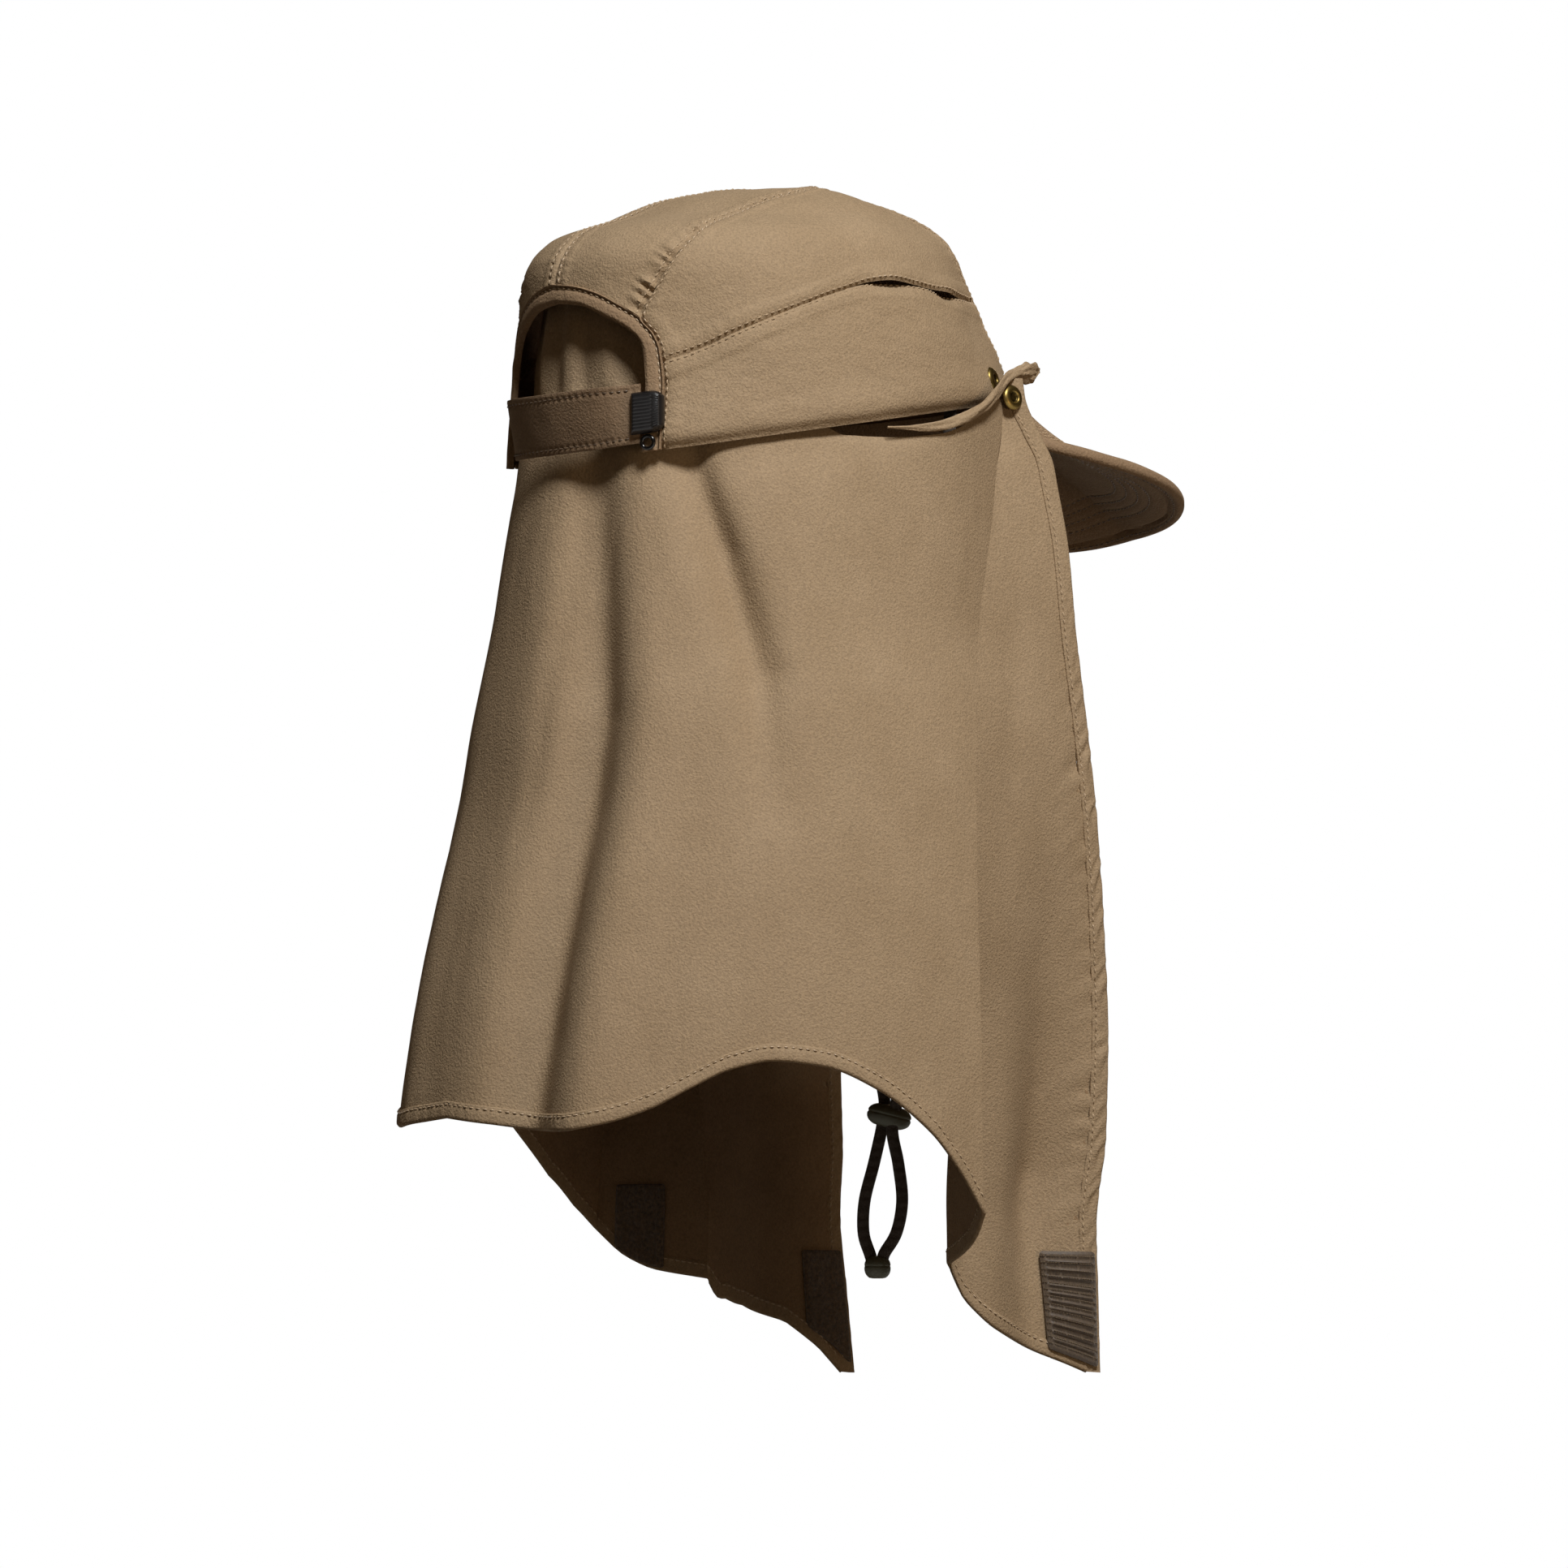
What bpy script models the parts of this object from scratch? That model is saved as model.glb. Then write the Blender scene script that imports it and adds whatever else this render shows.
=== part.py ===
# Legionnaire cap: a soft crown with a rear arch and strap, a peak that
# droops forward, and a long neck cape with a chin cord.
# Metres, +Z up. The wearer faces +Y and the wearer's right side is +X.
# The origin is the middle of the head opening.

from collections import namedtuple
from math import cos, degrees, exp, pi, radians, sin, tan

import bmesh
import bpy
from mathutils import Matrix, Vector

for old in list(bpy.data.objects):
    bpy.data.objects.remove(old)

mm = 0.001

# Head opening and crown
head_half_width = 80 * mm
head_half_length = 103 * mm
crown_height = 93.5 * mm
rim_pitch = radians(9.65)
cloth = 1.2 * mm
gap = 0.3 * mm

# Rear strap and its clip
strap_width = 22 * mm
strap_rise = 3 * mm
strap_turn = 40.0
clip_width = 12 * mm
clip_height = 15.5 * mm
clip_thickness = 4.2 * mm
clip_bevel = 0.9 * mm
clip_rib = 0.25 * mm
clip_turn = 33.3
ring_radius = 2.3 * mm
ring_wire = 0.75 * mm

# Binding round the rear arch
binding_thickness = 2.2 * mm
piping = 0.9 * mm

# Peak
peak_half_width = 72 * mm
peak_length = 82 * mm
peak_front = 77 * mm
peak_thickness = 3.4 * mm
peak_turn = 46.0
peak_side_turn = 125.0
peak_droop = 46 * mm
peak_side_droop = 22 * mm
peak_twist = 0.114
peak_bulge = 2.5 * mm
peak_roundness = 0.91
peak_wing_fall = 0.55
peak_edge_fall = 0.4

# Neck cape
cape_drop = 353 * mm
cape_flare = 39 * mm
cape_rear_flare = 45 * mm
cape_inside = 5.4 * mm
cape_outside = 5.9 * mm
cape_tuck_from = -12 * mm
cape_tuck_to = 6 * mm
lap_from = -90 * mm
lap_to = -5 * mm
lap_rear_turn = 78.0
lap_front_turn = 108.0
pleat_depth = 45 * mm
pleat_forward = 19.5 * mm
hem_width = 6.5 * mm
casing_width = 6.5 * mm
hem_thickness = 2.0 * mm
hem_gap = 1.6 * mm

# Fasteners
snap_diameter = 9.6 * mm
snap_thickness = 2.0 * mm
snap_share = 0.34
snap_clear = 2.2 * mm
snap_level = 12.5 * mm
socket_turn = 125.0
socket_level = 18 * mm
roll_height = 4.4 * mm
roll_thickness = 3.0 * mm
tape_width = 20 * mm
tape_length = 40 * mm
tape_thickness = 1.8 * mm

# Chin cord, its lock and its bead
cord_thickness = 4 * mm
lock_length = 17 * mm
lock_height = 8.5 * mm
lock_depth = 8 * mm
lock_tilt = radians(14)
cord_heading = radians(52)
bead_width = 10 * mm
bead_height = 8.5 * mm
bead_depth = 8 * mm

# How many columns and rows each cloth solid is drawn with
cape_rear_columns = 18
cape_pleat_columns = 2
cape_flap_columns = 4
cape_rows = 17

# Heights are shares of crown_height, sizes are shares of the head opening,
# and a shift is a share of head_half_length, to the front.
Ring = namedtuple("Ring", "rise height size shift")
crown_rings = [
    Ring(0.00, 0.000, 1.000, 0.000),
    Ring(0.15, 0.250, 0.970, -0.004),
    Ring(0.30, 0.460, 0.915, -0.032),
    Ring(0.45, 0.630, 0.862, -0.058),
    Ring(0.55, 0.735, 0.800, -0.034),
    Ring(0.65, 0.820, 0.672, 0.047),
    Ring(0.78, 0.900, 0.540, 0.076),
    Ring(0.90, 0.972, 0.300, 0.130),
    Ring(1.00, 1.000, 0.000, 0.170),
]
level_height = 0.25

# Seams of the crown. A turn is in degrees from the middle of the rear,
# and a rise is a share of the way from the rim to the top.
Seam = namedtuple("Seam", "rise turn")
side_start = [
    Seam(0.00, 36.0),
    Seam(0.09, 36.5),
    Seam(0.143, 35.5),
    Seam(0.19, 33.5),
    Seam(0.237, 30.2),
    Seam(0.315, 33.5),
    Seam(0.41, 38.2),
    Seam(0.515, 43.0),
    Seam(0.63, 47.0),
    Seam(0.70, 52.0),
    Seam(0.79, 62.0),
    Seam(0.90, 84.0),
    Seam(1.00, 98.0),
]
side_end = [
    Seam(0.00, 147.0),
    Seam(0.20, 146.0),
    Seam(0.38, 144.5),
    Seam(0.50, 141.5),
    Seam(0.60, 138.0),
    Seam(0.68, 133.5),
    Seam(0.74, 127.0),
    Seam(0.80, 121.0),
    Seam(0.88, 117.0),
    Seam(1.00, 116.0),
]
Edge = namedtuple("Edge", "turn rise")
pocket_seam = [
    Edge(30.0, 0.115),
    Edge(36.2, 0.130),
    Edge(43.5, 0.147),
    Edge(53.5, 0.195),
    Edge(66.5, 0.260),
    Edge(80.0, 0.328),
    Edge(90.0, 0.370),
    Edge(98.0, 0.381),
    Edge(121.0, 0.372),
    Edge(150.0, 0.380),
]
arch_seam = [
    Edge(0.0, 0.365),
    Edge(8.0, 0.352),
    Edge(16.0, 0.325),
    Edge(24.5, 0.276),
    Edge(30.2, 0.237),
]
# The free edge of the arch from its top to its foot. Along is the share of
# the way, and the seam on its outer side is read from the two tables above.
Arch = namedtuple("Arch", "along turn rise")
arch_edge = [
    Arch(0.00, 0.0, 0.300),
    Arch(0.22, 10.0, 0.287),
    Arch(0.42, 20.5, 0.240),
    Arch(0.55, 26.8, 0.203),
    Arch(0.66, 29.8, 0.172),
    Arch(0.76, 31.2, 0.135),
    Arch(0.87, 31.8, 0.085),
    Arch(1.00, 31.3, 0.000),
]
arch_corner = 0.55
panel_top = 0.992

# Sections of the cape. Depth is a share of cape_drop below the rim, side and
# rear are shares of the two flares, crease is the turn of the front crease,
# pleat is a share of the pleat, edge_x and edge_y are shares of the head
# opening for the front edge.
Level = namedtuple("Level", "depth side rear crease pleat edge_x edge_y")
cape_levels = [
    Level(-0.200, -0.080, -0.060, 134.0, 0.02, 0.825, 0.670),
    Level(-0.040, -0.080, -0.080, 128.0, 0.02, 0.844, 0.709),
    Level(0.000, -0.050, -0.100, 126.5, 0.03, 0.869, 0.762),
    Level(0.031, -0.030, -0.110, 124.0, 0.03, 0.900, 0.805),
    Level(0.055, -0.010, -0.090, 122.0, 0.04, 0.912, 0.817),
    Level(0.125, 0.080, 0.000, 117.0, 0.06, 0.944, 0.850),
    Level(0.210, 0.200, 0.110, 111.0, 0.10, 0.969, 0.867),
    Level(0.320, 0.430, 0.270, 104.0, 0.20, 0.994, 0.908),
    Level(0.400, 0.560, 0.370, 101.0, 0.30, 1.006, 0.937),
    Level(0.530, 0.740, 0.640, 97.5, 0.50, 1.013, 0.971),
    Level(0.643, 0.850, 0.840, 96.0, 0.74, 1.013, 0.990),
    Level(0.745, 0.930, 0.960, 95.0, 0.90, 0.998, 0.990),
    Level(0.835, 0.980, 1.000, 94.5, 1.00, 0.970, 0.962),
    Level(0.910, 1.000, 1.000, 94.5, 1.00, 0.950, 0.980),
    Level(1.010, 1.000, 1.000, 94.5, 1.00, 0.925, 1.005),
]

# Top and hem of the cape round its half, as shares of crown_height and
# cape_drop. Along is 0 at the rear and 1 at the front crease.
Border = namedtuple("Border", "along top hem")
cape_borders = [
    Border(0.00, 0.640, 0.737),
    Border(0.10, 0.640, 0.744),
    Border(0.19, 0.620, 0.751),
    Border(0.28, 0.560, 0.753),
    Border(0.35, 0.400, 0.747),
    Border(0.43, 0.190, 0.731),
    Border(0.50, 0.070, 0.708),
    Border(0.56, 0.000, 0.690),
    Border(0.63, -0.075, 0.681),
    Border(0.71, -0.075, 0.686),
    Border(0.80, -0.055, 0.708),
    Border(0.90, 0.040, 0.753),
    Border(0.955, 0.125, 0.794),
    Border(1.00, 0.180, 0.837),
]
# The same for the pleat and the flap in front of it
pleat_borders = [
    Border(0.00, 0.180, 0.837),
    Border(0.25, 0.182, 0.861),
    Border(0.50, 0.184, 0.873),
    Border(1.00, 0.186, 0.887),
]
flap_borders = [
    Border(0.00, 0.186, 0.887),
    Border(0.08, 0.190, 0.918),
    Border(0.16, 0.195, 0.934),
    Border(0.30, 0.202, 0.953),
    Border(0.63, 0.212, 0.974),
    Border(1.00, 0.220, 1.000),
]

# Soft folds of the cape: where each lies along the half, how wide it is,
# how deep it is in metres at the hem, and how it runs from rim to hem.
Fold = namedtuple("Fold", "side along drift width depth")
cape_folds = [
    Fold(1, 0.38, 0.24, 0.055, -5.0 * mm),
    Fold(1, 0.20, 0.10, 0.060, 4.0 * mm),
    Fold(1, 0.62, -0.02, 0.080, 2.5 * mm),
    Fold(-1, 0.34, 0.20, 0.060, -4.5 * mm),
    Fold(-1, 0.58, 0.04, 0.080, 3.0 * mm),
    Fold(-1, 0.14, 0.05, 0.060, 3.0 * mm),
]

# Route of the rolled cape corner along the crown: turn in degrees, height as
# a share of crown_height, and how far out of the crown it lies.
Roll = namedtuple("Roll", "turn height out")
roll_rows = [
    Roll(80.0, -0.048, 0.8 * mm),
    Roll(90.0, -0.046, 2.2 * mm),
    Roll(98.0, -0.036, 3.2 * mm),
    Roll(106.0, 0.008, 4.0 * mm),
    Roll(113.0, 0.070, 4.4 * mm),
    Roll(120.0, 0.150, 4.6 * mm),
    Roll(127.0, 0.222, 5.0 * mm),
    Roll(133.0, 0.254, 6.5 * mm),
    Roll(138.0, 0.272, 10.5 * mm),
    Roll(141.0, 0.280, 14.0 * mm),
]

# The chin cord's route, chosen by hand, on the wearer's right side
right_cord_route = [
    (71.3 * mm, 34.1 * mm, 9.0 * mm),
    (69.9 * mm, 34.4 * mm, -6.0 * mm),
    (66.0 * mm, 35.5 * mm, -35.0 * mm),
    (57.5 * mm, 38.5 * mm, -80.0 * mm),
    (45.0 * mm, 43.0 * mm, -130.0 * mm),
    (29.0 * mm, 49.0 * mm, -180.0 * mm),
    (14.0 * mm, 54.5 * mm, -220.0 * mm),
    (6.0 * mm, 57.8 * mm, -240.0 * mm),
    (3.6 * mm, 58.8 * mm, -250.9 * mm),
]
# The open loop under the lock: one strand each side
near_loop_route = [
    (2.4 * mm, 57.6 * mm, -261.5 * mm),
    (4.2 * mm, 59.6 * mm, -274.0 * mm),
    (6.4 * mm, 61.6 * mm, -288.0 * mm),
    (5.8 * mm, 60.6 * mm, -300.0 * mm),
    (2.6 * mm, 57.4 * mm, -308.0 * mm),
]
far_loop_route = [
    (-2.4 * mm, 56.4 * mm, -260.1 * mm),
    (-3.4 * mm, 54.8 * mm, -274.0 * mm),
    (-4.6 * mm, 53.0 * mm, -288.0 * mm),
    (-4.4 * mm, 53.2 * mm, -300.0 * mm),
    (-2.6 * mm, 55.0 * mm, -308.0 * mm),
]
lock_centre = Vector((0.0, 58.0 * mm, -256.0 * mm))
bead_centre = Vector((0.0, 56.2 * mm, -313.2 * mm))


def material(name, colour, roughness, metallic=0.0):
    """A Principled material of one linear colour."""
    made = bpy.data.materials.get(name)
    if made:
        return made
    made = bpy.data.materials.new(name)
    made.use_nodes = True
    shader = made.node_tree.nodes["Principled BSDF"]
    shader.inputs["Base Color"].default_value = (*colour, 1.0)
    shader.inputs["Roughness"].default_value = roughness
    shader.inputs["Metallic"].default_value = metallic
    return made


khaki = material("khaki_cloth", (0.20, 0.145, 0.095), 0.85)
dark_cloth = material("dark_cloth", (0.14, 0.10, 0.066), 0.85)
black_plastic = material("black_plastic", (0.012, 0.012, 0.013), 0.4)
grey_plastic = material("grey_green_plastic", (0.06, 0.065, 0.05), 0.45)
brass = material("antique_brass", (0.45, 0.33, 0.13), 0.35, 1.0)
tape = material("tape", (0.09, 0.07, 0.05), 0.9)
cord_brown = material("cord", (0.035, 0.024, 0.016), 0.8)


def read(rows, key, value, place):
    """A smooth curve through a table's rows, read at one place."""
    keys = [getattr(row, key) for row in rows]
    values = [getattr(row, value) for row in rows]
    if place <= keys[0]:
        return values[0]
    if place >= keys[-1]:
        return values[-1]
    i = max(n for n in range(len(keys) - 1) if keys[n] <= place)
    span = keys[i + 1] - keys[i]
    share = (place - keys[i]) / span
    slope = (values[i + 1] - values[i]) / span
    before = slope if i == 0 else (values[i] - values[i - 1]) / (keys[i] - keys[i - 1])
    after = slope
    if i + 2 < len(keys):
        after = (values[i + 2] - values[i + 1]) / (keys[i + 2] - keys[i + 1])
    start = 0.0 if before * slope <= 0 else 2 * before * slope / (before + slope)
    end = 0.0 if after * slope <= 0 else 2 * after * slope / (after + slope)
    if i == 0:
        start = slope
    if i + 2 == len(keys):
        end = slope
    two, three = share ** 2, share ** 3
    return (
        (2 * three - 3 * two + 1) * values[i]
        + (three - 2 * two + share) * span * start
        + (3 * two - 2 * three) * values[i + 1]
        + (three - two) * span * end
    )


def mix(first, second, share):
    return first + (second - first) * share


def ramp(start, end, place):
    """Zero before start, one after end, and smooth between them."""
    share = min(1.0, max(0.0, (place - start) / (end - start)))
    return share * share * (3 - 2 * share)


def rim_height(turn):
    """Height of the head opening's rim, which is higher at the front."""
    return -tan(rim_pitch) * head_half_length * cos(radians(turn))


def crown_surface(turn, rise):
    """A point on the outside of the crown."""
    height = read(crown_rings, "rise", "height", rise)
    size = read(crown_rings, "rise", "size", rise)
    shift = read(crown_rings, "rise", "shift", rise)
    angle = radians(turn)
    pitched = 1 - min(1.0, height / level_height)
    return Vector((
        size * head_half_width * sin(angle),
        (shift - size * cos(angle)) * head_half_length,
        height * crown_height + rim_height(turn) * pitched,
    ))


def crown_point(turn, rise, out=0.0):
    """A point on the crown, moved out along its normal."""
    step = 0.01
    low, high = max(0.0, rise - step), min(0.995, rise + step)
    across = crown_surface(turn + 0.5, rise) - crown_surface(turn - 0.5, rise)
    up = crown_surface(turn, high) - crown_surface(turn, low)
    return crown_surface(turn, rise) + across.cross(up).normalized() * out


def crown_at_height(turn, height, out=0.0):
    """A point beside the crown at one height, moved out level."""
    share = height / crown_height
    if height > rim_height(turn) and share > level_height:
        size = read(crown_rings, "height", "size", share)
        shift = read(crown_rings, "height", "shift", share)
    else:
        foot = rim_height(turn)
        top = level_height * crown_height
        done = min(1.0, max(0.0, (height - foot) / (top - foot)))
        edge = [ring for ring in crown_rings if ring.height == level_height][0]
        size, shift = mix(1.0, edge.size, done), edge.shift * done
    angle = radians(turn)
    return Vector((
        (size * head_half_width + out) * sin(angle),
        shift * head_half_length - (size * head_half_length + out) * cos(angle),
        height,
    ))


def finish(name, mesh, finish_material, smooth_angle=40.0):
    """Turn a bmesh into a named object with its own material."""
    bmesh.ops.recalc_face_normals(mesh, faces=mesh.faces[:])
    data = bpy.data.meshes.new(name)
    mesh.to_mesh(data)
    mesh.free()
    data.shade_smooth()
    data.set_sharp_from_angle(angle=radians(smooth_angle))
    data.materials.append(finish_material)
    made = bpy.data.objects.new(name, data)
    bpy.context.scene.collection.objects.link(made)
    return made


def sheet(name, front, back, finish_material):
    """A closed solid between two grids of points."""
    mesh = bmesh.new()
    rows, columns = len(front), len(front[0])
    near = [[mesh.verts.new(point) for point in row] for row in front]
    far = [[mesh.verts.new(point) for point in row] for row in back]
    for r in range(rows - 1):
        for c in range(columns - 1):
            mesh.faces.new((near[r][c], near[r][c + 1], near[r + 1][c + 1], near[r + 1][c]))
            mesh.faces.new((far[r][c], far[r + 1][c], far[r + 1][c + 1], far[r][c + 1]))
    ring = [(0, c) for c in range(columns)]
    ring += [(r, columns - 1) for r in range(1, rows)]
    ring += [(rows - 1, c) for c in range(columns - 2, -1, -1)]
    ring += [(r, 0) for r in range(rows - 2, 0, -1)]
    for (r1, c1), (r2, c2) in zip(ring, ring[1:] + ring[:1]):
        mesh.faces.new((near[r1][c1], far[r1][c1], far[r2][c2], near[r2][c2]))
    return finish(name, mesh, finish_material)


def crown_panel(name, start, end, low, high, columns, rows, side=1):
    """One cloth panel of the crown between two seams and two edges.
    Rows is a list of shares of the way up from its low edge."""

    def meet(edge, across, rise):
        for _ in range(12):
            rise = edge(mix(start(rise), end(rise), across))
        return rise

    feet = [meet(low, c / columns, 0.2) for c in range(columns + 1)]
    heads = [meet(high, c / columns, 0.6) for c in range(columns + 1)]
    front, back = [], []
    for r, up in enumerate(rows):
        front.append([])
        back.append([])
        for c in range(columns + 1):
            rise = mix(feet[c], heads[c], up)
            turn = mix(start(rise), end(rise), c / columns)
            size = max(read(crown_rings, "rise", "size", rise), 3 * cloth / head_half_width)
            radius = size * head_half_width
            ease = degrees(gap / 2 / radius)
            turn += ease if c == 0 else -ease if c == columns else 0.0
            lift = gap / 2 / crown_height
            rise += lift if r == 0 and low(turn) > 0 else -lift if up == 1 else 0.0
            front[-1].append(crown_point(side * turn, rise))
            back[-1].append(crown_point(side * turn, rise, -cloth))
    return sheet(name, front, back, khaki)


def make_crown():
    """Panels that share a seam have their rows at the same places on it."""
    corner = arch_seam[-1].rise
    foot = read(pocket_seam, "turn", "rise", side_start[1].turn)
    corner_share = (corner - foot) / (panel_top - foot)
    upper = [n / 10 for n in range(11)]
    top_rows = [0.0, corner_share / 2] + [mix(corner_share, 1.0, n) for n in upper]
    side_rows = [n / 5 for n in range(6)]
    front_foot = read(pocket_seam, "turn", "rise", side_end[2].turn)
    front_rows = [n * front_foot / panel_top for n in side_rows[:-1]]
    front_rows += [mix(front_foot, panel_top, n) / panel_top for n in top_rows]
    for side, word in ((1, "right"), (-1, "left")):
        crown_panel(
            "rear_panel_" + word,
            lambda rise: 0.0,
            lambda rise: read(side_start, "rise", "turn", max(rise, corner)),
            lambda turn: read(arch_seam, "turn", "rise", turn),
            lambda turn: panel_top, 7, upper, side)
        crown_panel(
            "top_panel_" + word,
            lambda rise: read(side_start, "rise", "turn", rise),
            lambda rise: read(side_end, "rise", "turn", rise),
            lambda turn: read(pocket_seam, "turn", "rise", turn),
            lambda turn: panel_top, 12, top_rows, side)
        crown_panel(
            "side_panel_" + word,
            lambda rise: read(side_start, "rise", "turn", rise),
            lambda rise: read(side_end, "rise", "turn", rise),
            lambda turn: 0.0,
            lambda turn: read(pocket_seam, "turn", "rise", turn), 12, side_rows, side)
    crown_panel(
        "front_panel",
        lambda rise: read(side_end, "rise", "turn", rise),
        lambda rise: 360 - read(side_end, "rise", "turn", rise),
        lambda turn: 0.0,
        lambda turn: panel_top, 8, front_rows)


def arch_seam_place(along):
    """Turn and rise of the seam round the arch, from its top to its foot."""
    corner = arch_seam[-1]
    if along < arch_corner:
        turn = corner.turn * along / arch_corner
        return turn, read(arch_seam, "turn", "rise", turn)
    rise = corner.rise * (1 - along) / (1 - arch_corner)
    return read(side_start, "rise", "turn", rise), rise


def make_arch_binding():
    """A folded band round the arch, with a piping ridge on its seam."""
    # Share of the way in from the seam, and share of the ridge's height
    profile = ((0.06, 0.35), (0.2, 1.0), (0.42, 0.45), (1.0, 0.45))
    steps = 13
    front, back = [], []
    for across, height in profile:
        front.append([])
        back.append([])
        for n in range(-steps, steps + 1):
            along = abs(n) / steps
            seam, seam_rise = arch_seam_place(along)
            turn = mix(seam, read(arch_edge, "along", "turn", along), across)
            turn *= 1 if n >= 0 else -1
            rise = mix(seam_rise, read(arch_edge, "along", "rise", along), across)
            front[-1].append(crown_point(turn, rise, height * piping))
            back[-1].append(crown_point(turn, rise, height * piping - binding_thickness))
    return sheet("arch_binding", front, back, khaki)


strap_out = piping + gap
strap_middle = rim_height(0) + strap_width / 2 + strap_rise


def strap_point(turn, height, out):
    """A point on the belt line of the strap, which keeps level."""
    angle = radians(turn)
    slope = tan(rim_pitch) * head_half_length * (1 - cos(angle))
    return Vector((
        (head_half_width + out) * sin(angle),
        -(head_half_length + out) * cos(angle),
        strap_middle + slope + height,
    ))


def make_strap():
    # Here the belt line bends to the side, so its radius is between the two.
    clip_radius = mix(head_half_length, head_half_width, sin(radians(clip_turn)))
    clip_half_turn = degrees(clip_width / 2 / clip_radius)
    end = clip_turn - clip_half_turn - degrees(gap / head_half_length)
    columns = 18
    front, back = [], []
    for height in (-strap_width / 2, strap_width / 2):
        turns = [mix(-strap_turn, end, c / columns) for c in range(columns + 1)]
        front.append([strap_point(turn, height, strap_out + cloth) for turn in turns])
        back.append([strap_point(turn, height, strap_out) for turn in turns])
    sheet("rear_strap", front, back, khaki)

    side_steps = 4
    rib_rows = 12
    front, back = [], []
    for r in range(rib_rows + 1):
        height = mix(-clip_height / 2, clip_height / 2, r / rib_rows)
        rib = (clip_rib if r % 2 else 0.0) if 0 < r < rib_rows else -clip_bevel
        front.append([])
        back.append([])
        for c in range(side_steps + 1):
            turn = clip_turn + mix(-clip_half_turn, clip_half_turn, c / side_steps)
            edge = -clip_bevel if c in (0, side_steps) else 0.0
            out = strap_out + clip_thickness + edge + rib
            front[-1].append(strap_point(turn, height, out))
            back[-1].append(strap_point(turn, height, strap_out))
    sheet("strap_clip", front, back, black_plastic)

    middle = strap_point(clip_turn, -clip_height / 2 - ring_radius - ring_wire - gap,
                         strap_out + ring_radius / 2)
    facing = strap_point(clip_turn, 0, 1.0) - strap_point(clip_turn, 0, 0.0)
    ring(middle, facing.normalized())


def ring(middle, facing):
    """The small loop that hangs under the clip."""
    sides, wire_sides = 10, 5
    mesh = bmesh.new()
    spin = facing.to_track_quat("Z", "Y")
    loops = []
    for n in range(sides):
        angle = 2 * pi * n / sides
        loop = []
        for m in range(wire_sides):
            turn = 2 * pi * m / wire_sides
            radius = ring_radius + ring_wire * cos(turn)
            point = Vector((radius * cos(angle), radius * sin(angle), ring_wire * sin(turn)))
            loop.append(mesh.verts.new(middle + spin @ point))
        loops.append(loop)
    for n in range(sides):
        after = loops[(n + 1) % sides]
        for m in range(wire_sides):
            o = (m + 1) % wire_sides
            mesh.faces.new((loops[n][m], after[m], after[o], loops[n][o]))
    return finish("strap_ring", mesh, black_plastic)


def peak_point(across, length):
    """A point on the middle of the peak: across -1 to 1, length 0 to 1."""
    turn = 180 - across * peak_turn
    root = crown_at_height(turn, rim_height(turn), 2 * gap)
    angle = radians(across * peak_side_turn)
    side = abs(sin(angle)) ** peak_roundness * (1 if across >= 0 else -1)
    widest = head_half_length + peak_length - peak_front
    if abs(across) * peak_side_turn <= 90:
        forward = widest + abs(cos(angle)) ** peak_roundness * peak_front
    else:
        corner = crown_at_height(180 - peak_turn, 0.0).y
        back = abs(cos(angle)) / abs(cos(radians(peak_side_turn)))
        forward = mix(widest, corner, back)
    level = rim_height(180)
    rim = Vector((side * peak_half_width, forward, 0.0))
    sideways = abs(side) ** 2
    fall = mix(peak_droop, level + peak_side_droop, sideways)
    reach = max(0.0, (forward - root.y) / peak_length)
    fallen = max(0.0, (forward - widest) / peak_front + sideways * peak_edge_fall)
    rim.z = level - fall * mix(peak_wing_fall, 1.0, min(1.0, fallen))
    rim.z += peak_twist * rim.x * min(1.0, reach + peak_edge_fall / 2)
    point = root.lerp(rim, length)
    point.z += peak_bulge * sin(pi * length) * (1 - sideways)
    return point


def make_peak():
    columns = 22
    # How far out each row lies, and its share of the thickness
    rows = ((0.0, 1.0), (0.18, 1.0), (0.38, 1.0), (0.58, 1.0), (0.78, 1.0), (0.93, 1.0),
            (0.985, 0.85), (1.0, 0.45))
    front, back = [], []
    for length, fullness in rows:
        half = peak_thickness / 2 * fullness
        front.append([])
        back.append([])
        for c in range(columns + 1):
            across = mix(-1, 1, c / columns)
            step = 0.02
            low, high = max(0.0, length - step), min(1.0, length + step)
            left, right = max(-1.0, across - step), min(1.0, across + step)
            along = peak_point(across, high) - peak_point(across, low)
            sideways = peak_point(right, length) - peak_point(left, length)
            normal = sideways.cross(along).normalized()
            if length == 0.0:
                normal = Vector((0, 0, 1))
            point = peak_point(across, length)
            front[-1].append(point + normal * half)
            back[-1].append(point - normal * half)
    return sheet("peak", front, back, khaki)


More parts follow.
